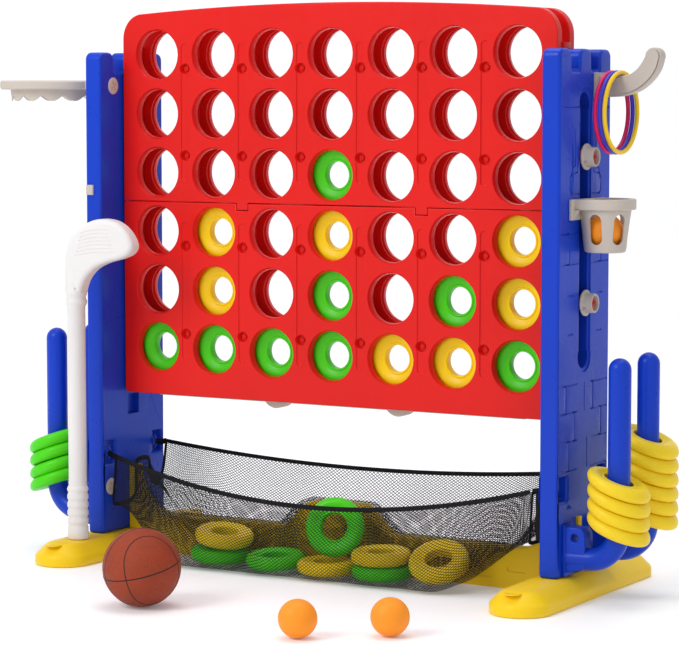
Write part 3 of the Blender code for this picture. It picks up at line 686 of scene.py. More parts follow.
def build_discs():
    for node in sorted(CAD_NODES):
        if node.startswith("disc_c"):
            spin = rotate(random.uniform(0, 6), "Y")
            matrix = shift(centre(node)) @ spin @ rotate(pi / 2, "X")
            add_disc("play_" + node, matrix, node)
        if node.startswith("net_disc"):
            x, y, z = (radians(value) for value in NET_TILTS[node[-1]])
            matrix = shift(centre(node)) @ rotate(z, "Z") @ rotate(y, "Y") @ \
                rotate(x, "X")
            add_disc("caught_" + node, matrix, node)
    for node, count in (("stack_left_front", 4), ("stack_right_front", 4), ("stack_right_rear", 6)):
        low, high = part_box(node)
        middle = centre(node)
        slope = STACK_SLOPE * (1 if middle.x < 0 else -1)
        reach = abs(slope) * size(node).x / 2
        pitch = (size(node).z - 2 * reach) / count
        material = DISC_GREEN if node == "stack_left_front" else STACK_YELLOW
        shear = Matrix.Identity(4)
        shear[2][0] = slope
        for index in range(count):
            ring = disc_mesh(material).copy()
            place = Vector((middle.x, middle.y, low[2] + reach + (index + 0.5) * pitch))
            wobble = rotate(radians(random.uniform(-1.2, 1.2)), "X")
            ring.transform(shift(place) @ shear @ wobble @ Matrix.Scale(0.99, 4))
            obj = link_mesh(f"stored_{node}_{index + 1}", ring, material, 50)
            keep(obj, node, index == 0)


# --- towers, feet, crossbar

TOWER_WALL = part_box("tower_right")[1][0]
TOWER_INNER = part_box("tower_right")[0][0]
TOWER_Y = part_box("tower_right")[1][1]
TOWER_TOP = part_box("tower_right")[1][2]
WALL_FACE = TOWER_WALL + 0.0003  # where fittings on the outer wall start
TOWER_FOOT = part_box("tower_right")[0][2]


def stadium(middle, half, low, high, bulb=0.0, steps=12):
    """Upright slot outline; bulb widens its two ends into keyholes."""
    radius = half + bulb
    spread = degrees(acos(half / radius)) if bulb else 0
    points = arc((middle, low + radius), radius, 180 - spread, 360 + spread, steps)
    return points + arc((middle, high - radius), radius, -spread, 180 + spread, steps)


def tower_outline():
    gap, depth, corner = 0.035, 0.04, 0.015
    merlon = (2 * TOWER_Y - 2 * gap) / 3
    floor = TOWER_TOP - depth
    outline = arc((-TOWER_Y + 0.006, TOWER_FOOT + 0.006), 0.006, 180, 270, 3)
    outline += arc((TOWER_Y - 0.006, TOWER_FOOT + 0.006), 0.006, 270, 360, 3)
    for index in range(3):
        right = TOWER_Y - index * (merlon + gap)
        left = right - merlon
        if index:
            outline += arc((right + 0.005, floor + 0.005), 0.005, 270, 180, 3)
        outline += arc((right - corner, TOWER_TOP - corner), corner, 0, 90, 6)
        outline += arc((left + corner, TOWER_TOP - corner), corner, 90, 180, 6)
        if index < 2:
            outline += arc((left - 0.005, floor + 0.005), 0.005, 360, 270, 3)
    return outline


def groove_path(points, width, depth, x, sign):
    """Rounded groove cutter along a (y, z) path on the face at x."""
    meshes = []
    for start, end in zip(points, points[1:]):
        a, b = Vector(start), Vector(end)
        along = (b - a).normalized()
        a, b = a - along * width * 0.4, b + along * width * 0.4
        radius = width / 2
        offset = radius - depth
        path = [(x + sign * offset, a.x, a.y), (x + sign * offset, b.x, b.y)]
        meshes.append(tube_mesh("groove", path, radius, resolution=2))
    return meshes


def tower_grooves(sign):
    """Brick joints and the crest outline on a tower's outer face."""
    wall = sign * TOWER_WALL
    edge = TOWER_Y - 0.01
    lines = []
    for z in (0.891, 0.664, 0.609, 0.39, 0.34, 0.288, 0.235):
        lines += [[(-edge, z), (-0.03, z)], [(0.03, z), (edge, z)]]
    uprights = {(0.664, 0.609): (-0.066, 0.068), (0.39, 0.34): (-0.076, 0.038, 0.002),
                (0.34, 0.288): (-0.038, 0.074), (0.288, 0.235): (0.014, -0.062)}
    for (top, low), places in uprights.items():
        lines += [[(y, top), (y, low)] for y in places]
    for mirror in (-1, 1):
        crest = [(0.028, 0.862), (0.028, 0.795), (0.034, 0.788), (0.034, 0.774)]
        crest += [(0.06, 0.77), (0.066, 0.762), (0.066, 0.742), (0.06, 0.734), (0.027, 0.734)]
        inner = [(0.044, 0.85), (0.044, 0.786), (0.056, 0.78), (0.06, 0.77)]
        lines += [[(mirror * y, z) for y, z in path] for path in (crest, inner)]
    for z in (0.552, 0.482):
        lines += [[(-0.07, z), (-0.05, z)], [(0.052, z), (0.074, z)]]
    meshes = []
    for points in lines:
        meshes += groove_path(points, 0.0036, 0.0015, wall, sign)
    return meshes


def build_tower(side, sign):
    node = f"tower_{side}"
    middle_x = sign * (TOWER_WALL + TOWER_INNER) / 2
    thickness = TOWER_WALL - TOWER_INNER
    windows = [rectangle(-0.103, -0.066, 0.182, 0.226, 0.005), rectangle(0.06, 0.097, 0.186, 0.23, 0.005)]
    loops = [tower_outline(), stadium(0, 0.0175, 0.417, 0.918, 0.0045)] + windows
    place = shift((middle_x, 0, 0)) @ UPRIGHT_YZ
    tower = plate(f"wall_{side}", loops, thickness, 0.0062, place, BLUE, 3)
    outer = sign * TOWER_WALL
    inner = sign * TOWER_INNER
    lip_outline = stadium(0, 0.0245, 0.409, 0.929, 0.0035, 16)
    cuts = [plate_mesh("lip", [lip_outline], 0.006, 0.0012, shift((x, 0, 0)) @ UPRIGHT_YZ, 1)
            for x in (outer, inner)]
    recess = plate_mesh("recess", [rectangle(-0.022, 0.017, 0.274, 0.315, 0.004)], 0.024, 0.001,
                        shift((inner, 0, 0)) @ UPRIGHT_YZ, 1)
    band = plate_mesh("band", [rectangle(-0.085, 0.085, 0.104, 0.166, 0.006)], 0.004, 0.001,
                      shift((outer, 0, 0)) @ UPRIGHT_YZ, 1)
    carve(tower, cuts + [recess, band])
    carve(tower, [merged("joints", tower_grooves(sign))], crossing=True)
    keep(tower, node)


def loft(name, rings, material, angle=35):
    bm = bmesh.new()
    loops = [[bm.verts.new(co) for co in ring] for ring in rings]
    for lower, upper in zip(loops, loops[1:]):
        for index in range(len(lower)):
            nxt = (index + 1) % len(lower)
            bm.faces.new((lower[index], lower[nxt], upper[nxt], upper[index]))
    bm.faces.new(loops[0])
    bm.faces.new(loops[-1])
    return from_bmesh(name, bm, material, angle)


def build_foot(side, sign):
    node = f"foot_{side}"
    low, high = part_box(node)
    middle = centre(node)
    half_w, half_l = size(node).x / 2, size(node).y / 2
    straight = half_l - half_w
    rings = []
    levels = ((0.0, 0.003), (0.0012, 0.0008), (0.004, 0.0), (0.017, 0.0006), (0.021, 0.003), (0.025, 0.0075),
              (0.033, 0.015), (0.0385, 0.0215), (0.0415, 0.0262), (high[2], 0.032))
    for z, inset in levels:
        ring = []
        for end, start in ((1, 0), (-1, 180)):
            for x, y in arc((0, 0), half_w - inset, start, start + 180, 24):
                ring.append((middle.x + x, end * straight + y, z))
        rings.append(ring)
    foot = loft(f"base_{side}", rings, YELLOW, 50)
    keep(foot, node)
    pads = []
    for end in (-1, 1):
        spot = (middle.x, end * (half_l - 0.06))
        ridge = plate_mesh("ridge", [stadium(0, 0.016, -0.055, 0.055)], 0.0018, 0.0008,
                           shift((spot[0], spot[1], high[2] - 0.0032)))
        pads.append(ridge)
    keep(joined(f"base_ridges_{side}", pads, YELLOW), node, replace=False)


CROSSBAR_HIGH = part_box("crossbar")[1]
BAR_TOP = 0.076
HUMP_TOP = 0.13
HUMP_HALF = 0.125
HUMP_SLOPE = 0.075
END_CURVE = 0.094  # length of the quarter ellipse that rises to each end


def crossbar_height(x):
    """Height of the crossbar's top at a side position x."""
    x = abs(x)
    reach = CROSSBAR_HIGH[0]
    top = CROSSBAR_HIGH[2]
    start = reach - END_CURVE
    if x > start:
        u = min(1.0, (x - start) / END_CURVE)
        return top - (top - BAR_TOP) * sqrt(max(0.0, 1 - u * u))
    t = min(1.0, max(0.0, (HUMP_HALF - x) / HUMP_SLOPE))
    return BAR_TOP + (HUMP_TOP - BAR_TOP) * t * t * (3 - 2 * t)


def build_crossbar():
    reach = CROSSBAR_HIGH[0]
    depth = CROSSBAR_HIGH[1]
    foot_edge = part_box("foot_right")[0][0] - 0.0003
    tip = 0.0075
    right = [(foot_edge, 0.0), (foot_edge, 0.0433), (reach, 0.0433), (reach, CROSSBAR_HIGH[2])]
    for step in range(25):
        angle = radians(90 * step / 24)
        x = reach - tip - (END_CURVE - tip) * (1 - cos(angle))
        right.append((x, CROSSBAR_HIGH[2] - (CROSSBAR_HIGH[2] - BAR_TOP) * sin(angle)))
    for step in range(1, 13):
        x = HUMP_HALF - HUMP_SLOPE * step / 12
        right.append((x, crossbar_height(x)))
    outline = right + [(-x, z) for x, z in reversed(right)]
    bar = plate("crossbar_body", [outline], 2 * depth, 0.0026, UPRIGHT_XZ, YELLOW, 3)
    cuts = []
    for sign in (-1, 1):
        for face in (-1, 1):
            place = shift((0, face * depth, 0)) @ UPRIGHT_XZ
            outer = rectangle(*sorted((sign * 0.371, sign * 0.412)), 0.031, 0.043, 0.0055)
            cuts.append(plate_mesh("slot", [outer], 0.005, 0.001, place, 1))
            panel = rectangle(*sorted((sign * 0.135, sign * 0.345)), 0.018, 0.058, 0.008)
            cuts.append(plate_mesh("panel", [panel], 0.004, 0.001, place, 1))
    carve(bar, [merged("cuts", cuts)])
    keep(bar, "crossbar")


# --- pegs, hoop, basket, hook, rings

def build_peg(node):
    low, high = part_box(node)
    sign = 1 if centre(node).x > 0 else -1
    depth = centre(node).y
    radius = 0.0206
    axis_x = 0.618
    root = WALL_FACE
    elbow = 0.079
    bend = 0.056
    path = [(root, elbow), (0.545, elbow)]
    path += arc((axis_x - bend, elbow + bend), bend, 270, 360, 16)
    path += [(axis_x, 0.25), (axis_x, high[2] - radius)]
    taper = [1.0] * len(path)
    for step in range(1, 8):
        angle = radians(90 * step / 7.4)
        path.append((axis_x, high[2] - radius + radius * sin(angle)))
        taper.append(cos(angle))
    meshes = [tube_mesh("peg", [(sign * x, depth, z) for x, z in path], radius, taper, 8)]
    outline = [(root, 0.052), (0.553, 0.06), (0.56, 0.068), (0.56, 0.126), (0.553, 0.136), (root, 0.138)]
    outline = [(sign * x, z) for x, z in outline]
    hole = circle((sign * 0.5385, 0.118), 0.007, 24)
    place = shift((0, depth, 0)) @ UPRIGHT_XZ
    meshes.append(plate_mesh("root", [outline, hole], 0.036, 0.003, place))
    flange_y = 0.02
    flange = box_mesh("flange", (min(sign * root, sign * (root + 0.006)), depth - flange_y, 0.046),
                      (max(sign * root, sign * (root + 0.006)), depth + flange_y, 0.14), 0.002)
    meshes.append(flange)
    keep(joined("tube_" + node, meshes, BLUE, 40), node)


def build_hoop():
    low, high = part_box("hoop")
    outer = size("hoop").y / 2
    middle_x = low[0] + outer
    top = high[2]
    inner = 0.102
    base = top - 0.018
    profile = [(inner, base), (outer - 0.004, base), (outer - 0.001, base + 0.002), (outer, base + 0.006),
               (outer, top - 0.003), (outer - 0.003, top), (inner + 0.004, top), (inner, top - 0.003)]
    place = shift((middle_x, 0, 0))
    ring = link_mesh("hoop_rim", lathe_mesh("rim", profile, 96, place), BEIGE)
    bm = bmesh.new()
    steps, scallops = 144, 14
    rows = []
    for level in range(5):
        row = []
        for step in range(steps):
            angle = 2 * pi * step / steps
            wave = 0.5 - 0.5 * cos(angle * scallops)
            drop = level / 4 * (0.013 + 0.012 * wave ** 0.6)
            radius = inner + 0.0015 - 0.003 * level / 4
            row.append((cos(angle) * radius, sin(angle) * radius, base + 0.002 - drop))
        rows.append(row)
    walls = []
    for thickness in (0.0, -0.0026):
        walls.append([[bm.verts.new((middle_x + x * (1 + thickness / inner), y * (1 + thickness / inner), z))
                       for x, y, z in row] for row in rows])
    strips = walls[0] + walls[1][::-1]
    for upper, lower in zip(strips, strips[1:] + strips[:1]):
        for step in range(steps):
            nxt = (step + 1) % steps
            bm.faces.new((upper[step], upper[nxt], lower[nxt], lower[step]))
    skirt = from_bmesh("hoop_skirt", bm, BEIGE)
    wall_x = -WALL_FACE
    plate_low = box_mesh("plate", (wall_x - 0.007, -0.064, base - 0.022), (wall_x, 0.064, top), 0.0025)
    arms = []
    for sign in (-1, 1):
        outline = [(wall_x, sign * 0.062), (wall_x - 0.03, sign * 0.066), (middle_x + 0.067, sign * 0.103),
                   (middle_x + 0.07, sign * 0.086), (wall_x - 0.012, sign * 0.04), (wall_x, sign * 0.04)]
        arms.append(plate_mesh("arm", [outline], 0.017, 0.0022, shift((0, 0, top - 0.0087))))
        web = [(wall_x, base - 0.018), (wall_x, base + 0.002), (wall_x - 0.03, base + 0.002)]
        arms.append(plate_mesh("web", [web], 0.004, 0.001, shift((0, sign * 0.052, 0)) @ UPRIGHT_XZ, 1))
    bridge = [(wall_x, -0.044), (wall_x, 0.044)]
    bridge += [(middle_x + x, y) for x, y in arc((0, 0), inner + 0.004, 25, -25, 10)]
    arms.append(plate_mesh("bridge", [bridge], 0.015, 0.001, shift((0, 0, top - 0.0085))))
    bracket = joined("hoop_bracket", [plate_low] + arms, BEIGE)
    keep_all("hoop", ring, skirt, bracket)


def build_basket():
    low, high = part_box("ball_basket")
    rim_r = 0.0555
    middle_x = high[0] - rim_r
    top = high[2]
    base = top - 0.0195
    floor = low[2]
    wall = WALL_FACE
    cup = [(0.0, floor), (0.033, floor), (0.0362, floor + 0.0012), (0.038, floor + 0.005),
           (0.047, base - 0.001), (0.0474, base + 0.004), (0.044, base + 0.004), (0.0434, base - 0.001),
           (0.035, floor + 0.006),
           (0.033, floor + 0.0034), (0.0, floor + 0.0034)]
    place = shift((middle_x, 0, 0))
    bowl = link_mesh("basket_cup", lathe_mesh("cup", cup, 72, place), BEIGE)
    cutters = []
    for angle in (-90, -30, 30, 90):
        outline = stadium(0, 0.0115, floor + 0.015, floor + 0.07)
        cutter = plate_mesh("slot", [outline], 0.04, 0.001, shift((0.045, 0, 0)) @ UPRIGHT_YZ, 1)
        cutter.transform(place @ rotate(radians(angle), "Z"))
        cutters.append(cutter)
    behind = box_mesh("back", (wall - 0.05, -0.1, floor - 0.05), (wall, 0.1, top + 0.05))
    carve(bowl, [merged("slots", cutters), behind])
    outline = [(wall, -rim_r)] + arc((middle_x, 0), rim_r, -90, 90, 40) + [(wall, rim_r)]
    hole = circle((middle_x, 0), 0.0444, 72)
    hole = [(max(x, wall + 0.0035), y) for x, y in hole]
    rim = plate("basket_rim", [outline, hole], 0.0195, 0.0024, shift((0, 0, top - 0.00975)), BEIGE, 3)
    meshes = [box_mesh("plate", (wall, -0.07, top - 0.0375), (wall + 0.0055, 0.07, top), 0.0018)]
    for sign in (-1, 1):
        outline = [(wall, top - 0.0365), (wall + 0.004, top - 0.0365), (wall + 0.015, top - 0.02),
                   (wall, top - 0.018)]
        gusset = plate_mesh("gusset", [outline], 0.005, 0.001, UPRIGHT_XZ, 1)
        gusset.transform(shift((0, sign * 0.058, 0)))
        meshes.append(gusset)
    back = joined("basket_plate", meshes, BEIGE)
    keep_all("ball_basket", bowl, rim, back)


def smooth_curve(points, steps=6):
    """Catmull-Rom curve through the points."""
    made = []
    for index in range(len(points) - 1):
        p = [Vector(points[max(index - 1, 0)]), Vector(points[index]), Vector(points[index + 1]),
             Vector(points[min(index + 2, len(points) - 1)])]
        for step in range(steps):
            t = step / steps
            made.append(0.5 * ((2 * p[1]) + (p[2] - p[0]) * t +
                               (2 * p[0] - 5 * p[1] + 4 * p[2] - p[3]) * t * t +
                               (3 * p[1] - p[0] - 3 * p[2] + p[3]) * t ** 3))
    made.append(Vector(points[-1]))
    return made


def build_hook():
    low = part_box("ring_hook")[0]
    depth = centre("ring_hook").y
    upper = smooth_curve([(0.5195, 0.9475), (0.55, 0.9465), (0.572, 0.9475), (0.588, 0.9535), (0.602, 0.967),
                          (0.6115, 0.983)])
    lower = smooth_curve([(0.642, 0.979), (0.635, 0.957), (0.619, 0.936), (0.597, 0.92), (0.57, 0.911),
                          (0.54, 0.9085), (0.5195, 0.909)])
    tip = arc((0.6268, 0.9818), 0.0156, 176, -8, 14)
    outline = [tuple(p) for p in upper[:-1]] + tip + [tuple(p) for p in lower[1:]]
    place = shift((0, depth, 0)) @ UPRIGHT_XZ
    arm = plate("hook_arm", [outline], 0.0238, 0.0026, place, BEIGE, 3)
    shrunk = []
    for index, point in enumerate(outline):
        before, after = Vector(outline[index - 1]), Vector(outline[(index + 1) % len(outline)])
        along = (after - before).normalized()
        normal = Vector((along.y, -along.x))
        shrunk.append(tuple(Vector(point) + normal * 0.0042))
    shrunk = [(max(x, 0.529), z) for x, z in shrunk]
    recess = []
    for face in (-1, 1):
        recess.append(plate_mesh("recess", [shrunk], 0.005, 0.0008, shift((0, face * 0.0119, 0)) @ place, 1))
    carve(arm, [merged("recess", recess)])
    wall = WALL_FACE
    back = box_mesh("back", (wall, depth - 0.024, low[2]), (wall + 0.0055, depth + 0.024, 0.953), 0.0016)
    back = joined("hook_plate", [back], BEIGE)
    keep_all("ring_hook", arm, back)


def build_toss_rings():
    for colour, material in (("pink", PINK), ("violet", VIOLET), ("yellow", RING_YELLOW)):
        node = "toss_ring_" + colour
        radius = size(node).z / 2 - 0.004
        profile = circle((radius, 0), 0.004, 16)
        turn = shift(centre(node)) @ rotate(pi / 2, "Y")
        ring = link_mesh("ring_" + node, lathe_mesh(node, profile, 96, turn), material)
        keep(ring, node)


def screw_mesh(matrix, radius):
    head = [(0.0, 0.0), (radius, 0.0), (radius, 0.001), (radius * 0.93, 0.002), (radius * 0.75, 0.0027),
            (0.0, 0.003)]
    body = link_mesh("screw", lathe_mesh("head", head, 40, matrix), BEIGE)
    cutters = []
    for quarter in (0, 1):
        bar = box_mesh("cross", (-radius * 0.62, -radius * 0.1, 0.0012), (radius * 0.62, radius * 0.1, 0.006))
        bar.transform(matrix @ rotate(0.6 + quarter * pi / 2, "Z"))
        cutters.append(bar)
    return carve(body, cutters)


def build_screws():
    for node in ("tower_screw_upper", "tower_screw_lower"):
        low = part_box(node)[0]
        middle = centre(node)
        matrix = shift((low[0], middle.y, middle.z)) @ rotate(pi / 2, "Y")
        head = screw_mesh(matrix, size(node).z / 2)
        head.name = "screw_" + node
        keep(head, node)


# --- balls and club

def sphere_mesh(radius, segments, rings):
    bm = bmesh.new()
    bmesh.ops.create_uvsphere(bm, u_segments=segments, v_segments=rings, radius=radius)
    return mesh_of(bm, "ball")


def build_balls():
    for node in ("basket_ball", "loose_ball_left", "loose_ball_right"):
        radius = size(node).z / 2
        mesh = sphere_mesh(radius, 64, 40)
        under, over = radius - 0.0008, radius + 0.00016
        band = lathe_mesh("band", [(under, -0.0007), (over, -0.0005), (over, 0.0005), (under, 0.0007)], 96)
        ball = joined("sphere_" + node, [mesh, band], ORANGE)
        place = shift(centre(node)) @ rotate(0.7, "X") @ rotate(0.5, "Y")
        ball.data.transform(place)
        keep(ball, node)
    node = "basketball"
    radius = size(node).z / 2
    place = shift(centre(node)) @ rotate(radians(-34), "Z") @ \
        rotate(radians(14), "X")
    mesh = sphere_mesh(radius, 96, 64)
    mesh.transform(place)
    keep(link_mesh("basketball_cover", mesh, PEBBLE), node)
    seams = []
    around = [radians(4 * step) for step in range(90)]
    r = radius - 0.001
    seams.append([(r * cos(a), r * sin(a), 0) for a in around])
    seams.append([(0, r * cos(a), r * sin(a)) for a in around])
    for side in (-1, 1):
        loop = []
        for a in around:
            along = 0.74 * cos(a)
            across = 0.86 * sin(a)
            x = side * (0.62 - 0.22 * cos(2 * a))
            point = Vector((x, across, along)).normalized() * r
            loop.append(tuple(point))
        seams.append(loop)
    meshes = [tube_mesh("seam", loop, 0.0015, resolution=2, cyclic=True) for loop in seams]
    made = joined("basketball_seams", meshes, SEAM)
    made.data.transform(place)
    keep(made, node, replace=False)


def build_club():
    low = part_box("club")[0]
    axis_x = -0.489
    axis_y = centre("club").y
    base = low[2]
    profile = [(0.0, 0.0), (0.0165, 0.0), (0.0195, 0.0015), (0.0205, 0.005)]
    for index in range(5):
        z = 0.024 + index * 0.016
        profile += [(0.0207, z), (0.019, z + 0.003), (0.019, z + 0.006), (0.0207, z + 0.009)]
    profile += [(0.021, 0.1), (0.0195, 0.1045), (0.018, 0.106), (0.0176, 0.112), (0.0176, 0.458),
                (0.02, 0.462), (0.0212, 0.466), (0.0212, 0.47), (0.019, 0.474), (0.019, 0.478),
                (0.0212, 0.482), (0.0212, 0.487),
                (0.0196, 0.491), (0.0188, 0.5), (0.0178, 0.53), (0.015, 0.536), (0.0, 0.536)]
    turn = shift((axis_x, axis_y, base))
    shaft = link_mesh("club_shaft", lathe_mesh("shaft", profile, 56, turn), WHITE, 40)
    keep(shaft, "club")
    blade = smooth_curve([(0.0195, 0.485), (0.0245, 0.502), (0.035, 0.519), (0.053, 0.5345), (0.08, 0.546),
                          (0.11, 0.554), (0.132, 0.563), (0.1418, 0.578), (0.1345, 0.598), (0.118, 0.616),
                          (0.098, 0.6268), (0.072, 0.6308), (0.047, 0.627), (0.024, 0.617), (0.005, 0.603),
                          (-0.009, 0.583), (-0.017, 0.548), (-0.019, 0.485)], 5)
    place = shift((axis_x, axis_y, base)) @ UPRIGHT_XZ
    head = plate("club_head", [[tuple(p) for p in blade]], 0.035, 0.01, place, WHITE, 5)
    grooves = []
    for index in range(7):
        z = 0.5585 + index * 0.0072
        for face in (-1, 1):
            y = face * 0.0178
            inset = 0.002 * index
            line = [(0.012 + inset, y, z), (0.05, y, z + 0.0065), (0.1 - inset, y, z + 0.0085)]
            grooves.append(tube_mesh("line", line, 0.0014, resolution=2, smooth=True))
    cutter = merged("lines", grooves)
    cutter.transform(shift((axis_x, axis_y, base)))
    carve(head, [cutter])
    keep(head, "club", replace=False)


# --- net

def ease(value, start, end):
    t = min(1.0, max(0.0, (value - start) / (end - start)))
    return t * t * (3 - 2 * t)


NET_HALF = 0.458
NET_HOOKS = ((-0.0845, 0.204), (0.0785, 0.208))


def net_section(x):
    """Points of the net across the stand at x: front edge, front pocket, over the bar, rear pocket."""
    end = ease(abs(x), 0.27, 0.46)
    sag = 1 - (x / 0.46) ** 2
    ridge = max(crossbar_height(x - 0.014), crossbar_height(x), crossbar_height(x + 0.014)) + 0.0035
    ridge += 0.045 * ease(abs(x), 0.37, 0.44)
    front_y = -0.092 - 0.026 * sag
    front_z = 0.198 - 0.062 * sag
    floor_z = 0.0042 + 0.1 * end
    bulge = -0.16 + 0.057 * end
    return [(front_y, front_z), (bulge + 0.006, (front_z + floor_z) / 2 + 0.004),
            (bulge, floor_z + 0.018 * (1 - end) + 0.004), (-0.144 + 0.055 * end, floor_z),
            (-0.09, floor_z - 0.001), (-0.05, floor_z), (-0.0275, floor_z + 0.012),
            (-0.024, 0.5 * (ridge + floor_z)), (-0.0225, ridge - 0.006),
            (-0.012, ridge), (0.012, ridge), (0.023, ridge - 0.006), (0.0275, 0.5 * (ridge + floor_z)),
            (0.05, floor_z + 0.022), (0.072, 0.5 * (floor_z + 0.2)),
            (0.085 + 0.006 * sag, 0.21 - 0.026 * sag)]


def net_surface(columns, rows):
    """Grid of net points, evenly spaced along each section, with small folds."""
    grid = np.zeros((columns, rows, 3))
    for i in range(columns):
        x = NET_HALF * (2 * i / (columns - 1) - 1)
        path = [np.array(p) for p in smooth_curve(net_section(x), 8)]
        path = np.array([[p[0], p[1]] for p in path])
        steps = np.concatenate([[0], np.cumsum(np.linalg.norm(np.diff(path, axis=0), axis=1))])
        even = np.linspace(0, steps[-1], rows)
        grid[i, :, 0] = x
        grid[i, :, 1] = np.interp(even, steps, path[:, 0])
        grid[i, :, 2] = np.interp(even, steps, path[:, 1])
    u = np.linspace(-1, 1, columns)[:, None]
    v = np.linspace(0, 1, rows)[None, :]
    gather = np.abs(u) ** 3
    fold = np.sin(u * 52 + np.sin(v * 9) * 1.2) * 0.0013 * gather + np.sin(u * 23 + v * 5) * 0.0012
    slack = np.sin(np.pi * v) * (1 - np.abs(2 * v - 1) ** 6)
    grid[:, :, 1] -= fold * slack * (v < 0.42)
    grid[:, :, 1] += fold * slack * (v > 0.7)
    return grid


def sample(grid, u, v):
    """Bilinear points on the surface for arrays u, v in 0..1."""
    columns, rows, _ = grid.shape
    a = np.clip(u * (columns - 1), 0, columns - 1.0001)
    b = np.clip(v * (rows - 1), 0, rows - 1.0001)
    i, j = a.astype(int), b.astype(int)
    fa, fb = (a - i)[..., None], (b - j)[..., None]
    top = grid[i, j] * (1 - fa) + grid[i + 1, j] * fa
    low = grid[i, j + 1] * (1 - fa) + grid[i + 1, j + 1] * fa
    return top * (1 - fb) + low * fb


THREAD_WIDTH = 0.0012
CELLS_X = 106
CELLS_V = 114


def build_net():
    grid = net_surface(185, 161)
    verts, faces = [], []
    count = 0
    for family in (1, -1):
        for start in range(-CELLS_V, CELLS_X + CELLS_V + 1):
            k = np.arange(CELLS_V + 1)
            column = start + k if family > 0 else start - k
            inside = (column >= 0) & (column <= CELLS_X)
            k, column = k[inside], column[inside]
            if len(k) < 2:
                continue
            fine = np.linspace(0, len(k) - 1, (len(k) - 1) * 2 + 1)
            uu = np.interp(fine, np.arange(len(k)), column) / CELLS_X
            vv = np.interp(fine, np.arange(len(k)), k) / CELLS_V
            points = sample(grid, uu, vv)
            along = np.gradient(points, axis=0)
            along /= np.linalg.norm(along, axis=1)[:, None] + 1e-12
            u_after, u_before = np.clip(uu + 0.004, 0, 1), np.clip(uu - 0.004, 0, 1)
            v_after, v_before = np.clip(vv + 0.006, 0, 1), np.clip(vv - 0.006, 0, 1)
            normal = np.cross(sample(grid, u_after, vv) - sample(grid, u_before, vv),
                              sample(grid, uu, v_after) - sample(grid, uu, v_before))
            normal /= np.linalg.norm(normal, axis=1)[:, None] + 1e-12
            side = np.cross(normal, along) * THREAD_WIDTH / 2
            lift = normal * (0.0001 * family)
            left, right = points + side + lift, points - side + lift
            size_run = len(points)
            verts.append(np.stack([left, right], axis=1).reshape(-1, 3))
            index = count + 2 * np.arange(size_run - 1)
            faces.append(np.stack([index, index + 1, index + 3, index + 2], axis=1))
            count += 2 * size_run
    verts = np.concatenate(verts)
    faces = np.concatenate(faces)
    mesh = bpy.data.meshes.new("net_threads")
    mesh.from_pydata(verts.tolist(), [], faces.tolist())
    net = link_mesh("net_threads", mesh, THREAD, 180)
    keep(net, "net")
    bindings = build_bindings(grid)


def ribbon(name, points, width, thickness, toward):
    """Flat webbing strip with soft edges along a path; toward is its facing direction at each point."""
    rings = []
    points = [Vector(p) for p in points]
    for index, point in enumerate(points):
        along = (points[min(index + 1, len(points) - 1)] - points[max(index - 1, 0)]).normalized()
        face = Vector(toward[index] if isinstance(toward, list) else toward)
        side = along.cross(face).normalized()
        face = side.cross(along).normalized()
        ring = []
        for step in range(12):
            angle = 2 * pi * step / 12
            c, s = cos(angle), sin(angle)
            wide = copysign(abs(c) ** 0.5, c) * width / 2
            thick = copysign(abs(s) ** 0.9, s) * thickness / 2
            ring.append(point + side * wide + face * thick)
        rings.append(ring)
    return loft(name, rings, WEBBING, 60)


def build_bindings(grid):
    columns, rows, _ = grid.shape
    made = []
    front = [Vector(p) for p in grid[::3, 0]]
    made.append(ribbon("binding_front", front, 0.009, 0.0022, (0, -1, 0.25)))
    back = [Vector(p) for p in grid[::3, -1]]
    made.append(ribbon("binding_back", back, 0.009, 0.0022, (0, -1, -0.3)))
    for side, column, facing in (("left", 0, 1), ("right", columns - 1, -1)):
        edge = [Vector(p) for p in grid[column, ::3]]
        made.append(ribbon("binding_" + side, edge, 0.008, 0.0022, (facing, 0, 0.3)))
    for sign, column in ((-1, 0), (1, columns - 1)):
        for row, (hook_y, hook_z) in ((0, NET_HOOKS[0]), (rows - 1, NET_HOOKS[1])):
            start = Vector(grid[column, row])
            end = Vector((sign * (TOWER_INNER + 0.004), hook_y, hook_z + 0.001))
            path = [start.lerp(end, t / 5) + Vector((0, 0, -0.002 * sin(pi * t / 5))) for t in range(6)]
            strap = ribbon(f"strap_{'left' if sign < 0 else 'right'}_{'front' if row == 0 else 'back'}", path,
                           0.011, 0.0022, (0, -1, 0.1))
            made.append(strap)
    strap = [(0.4735, -0.098, 0.196 - 0.0125 * step) for step in range(8)]
    made.append(ribbon("strap_right_hanging", strap, 0.012, 0.0022, (0, -1, 0.0)))
    for piece in made:
        keep(piece, "net", replace=False)
    return made


# --- small extras on the stand

# Net hook's path from its foot: into the wall, out along Y, up.
HOOK_BEND = ((0.016, 0.001, -0.018), (0.006, 0.002, -0.01), (0.004, 0.002, 0.006), (0.008, 0.002, 0.012))


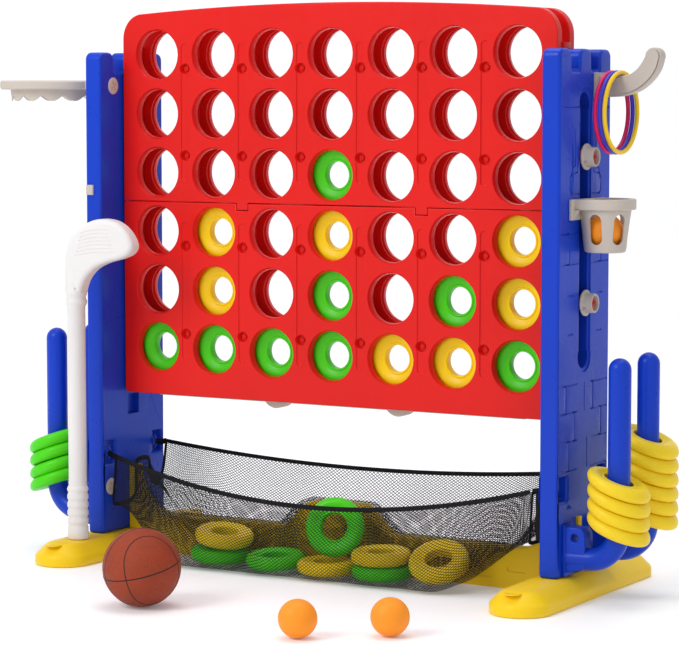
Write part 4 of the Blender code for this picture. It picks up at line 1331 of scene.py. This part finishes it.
def build_extras():
    """Net hooks in the tower windows, the crossbar's tenon and the clip on the left tower."""
    for side, sign in (("left", -1), ("right", 1)):
        meshes = []
        for y, z in NET_HOOKS:
            xs = sorted((sign * (TOWER_INNER + 0.006), sign * (TOWER_WALL - 0.006)))
            web = box_mesh("web", (xs[0], y - 0.017, z - 0.0235), (xs[1], y - 0.004, z + 0.0235), 0.002)
            meshes.append(web)
            hook = [(sign * (TOWER_INNER + deep), y + out, z + up) for deep, out, up in HOOK_BEND]
            meshes.append(tube_mesh("hook", hook, 0.0035, resolution=4, smooth=True))
        keep(joined(f"net_hooks_{side}", meshes, BLUE), f"tower_{side}", replace=False)
        xs = sorted((sign * (TOWER_WALL - 0.004), sign * (TOWER_WALL + 0.0035)))
        tenon = box_mesh("tenon", (xs[0], -0.026, 0.127), (xs[1], -0.01, 0.147), 0.002)
        keep(joined(f"tenon_{side}", [tenon], YELLOW), "crossbar", replace=False)
    low = (-TOWER_WALL + 0.004, -TOWER_Y - 0.0045, 0.716)
    high = (-TOWER_WALL + 0.02, -TOWER_Y + 0.002, 0.736)
    clip = box_mesh("clip", low, high, 0.0015)
    keep(joined("tower_clip", [clip], BEIGE), "tower_left", replace=False)


# --- stage

def build_stage():
    bm = bmesh.new()
    profile = [(-6.0, 0.0), (3.0, 0.0)]
    profile += [(3.0 + x, 1.6 + z) for x, z in arc((0, 0), 1.6, -90, 0, 16)][1:]
    profile += [(4.6, 7.0)]
    turn = rotate(radians(30), "Z")
    rows = []
    for side in (-8.0, 8.0):
        edge = [turn @ Vector((side, along, height - 0.0006)) for along, height in profile]
        rows.append([bm.verts.new(point) for point in edge])
    for index in range(len(profile) - 1):
        bm.faces.new((rows[0][index], rows[1][index], rows[1][index + 1], rows[0][index + 1]))
    floor = from_bmesh("studio_floor", bm, floor_material(), 60)
    world = bpy.data.worlds.new("studio")
    bpy.context.scene.world = world
    world.use_nodes = True
    nodes = world.node_tree.nodes
    background = nodes["Background"]
    background.inputs["Color"].default_value = (0.93, 0.95, 1.0, 1.0)
    background.inputs["Strength"].default_value = 0.64
    backdrop = nodes.new("ShaderNodeBackground")
    backdrop.inputs["Color"].default_value = (1.0, 1.0, 1.0, 1.0)
    seen = nodes.new("ShaderNodeMixShader")
    path = nodes.new("ShaderNodeLightPath")
    outputs = (path.outputs["Is Camera Ray"], background.outputs[0], backdrop.outputs[0])
    for source, target in zip(outputs, seen.inputs):
        world.node_tree.links.new(source, target)
    world.node_tree.links.new(seen.outputs[0], nodes["World Output"].inputs["Surface"])
    for name, place, aim, power, width in (("key", (-1.6, -4.2, 3.4), (0, 0, 0.5), 118, 2.2),
                                           ("fill", (3.6, -2.2, 2.6), (0.2, 0, 0.5), 8, 2.5),
                                           ("top", (0.0, 0.4, 4.2), (0, 0, 0.3), 70, 3.0)):
        light = bpy.data.lights.new(name, "AREA")
        light.energy = power
        light.size = width
        obj = placed(name, light)
        obj.location = place
        obj.rotation_euler = (Vector(aim) - Vector(place)).to_track_quat("-Z", "Y").to_euler()


def build_camera():
    camera = bpy.data.cameras.new("camera")
    camera.lens = 140.3
    camera.sensor_width = 36.0
    camera.clip_end = 60.0
    obj = placed("camera", camera)
    obj.location = (2.5424, -4.3679, 0.9141)
    obj.rotation_euler = (radians(85.0), 0.0, radians(30.2))
    bpy.context.scene.camera = obj
    bpy.context.scene.view_settings.view_transform = "Standard"


build_camera()
build_stage()
build_board()
build_discs()
for side_name, side_sign in (("left", -1), ("right", 1)):
    build_tower(side_name, side_sign)
    build_foot(side_name, side_sign)
build_crossbar()
for peg_node in ("peg_left_front", "peg_left_rear", "peg_right_front", "peg_right_rear"):
    build_peg(peg_node)
build_hoop()
build_basket()
build_hook()
build_toss_rings()
build_screws()
build_balls()
build_club()
build_net()
build_extras()
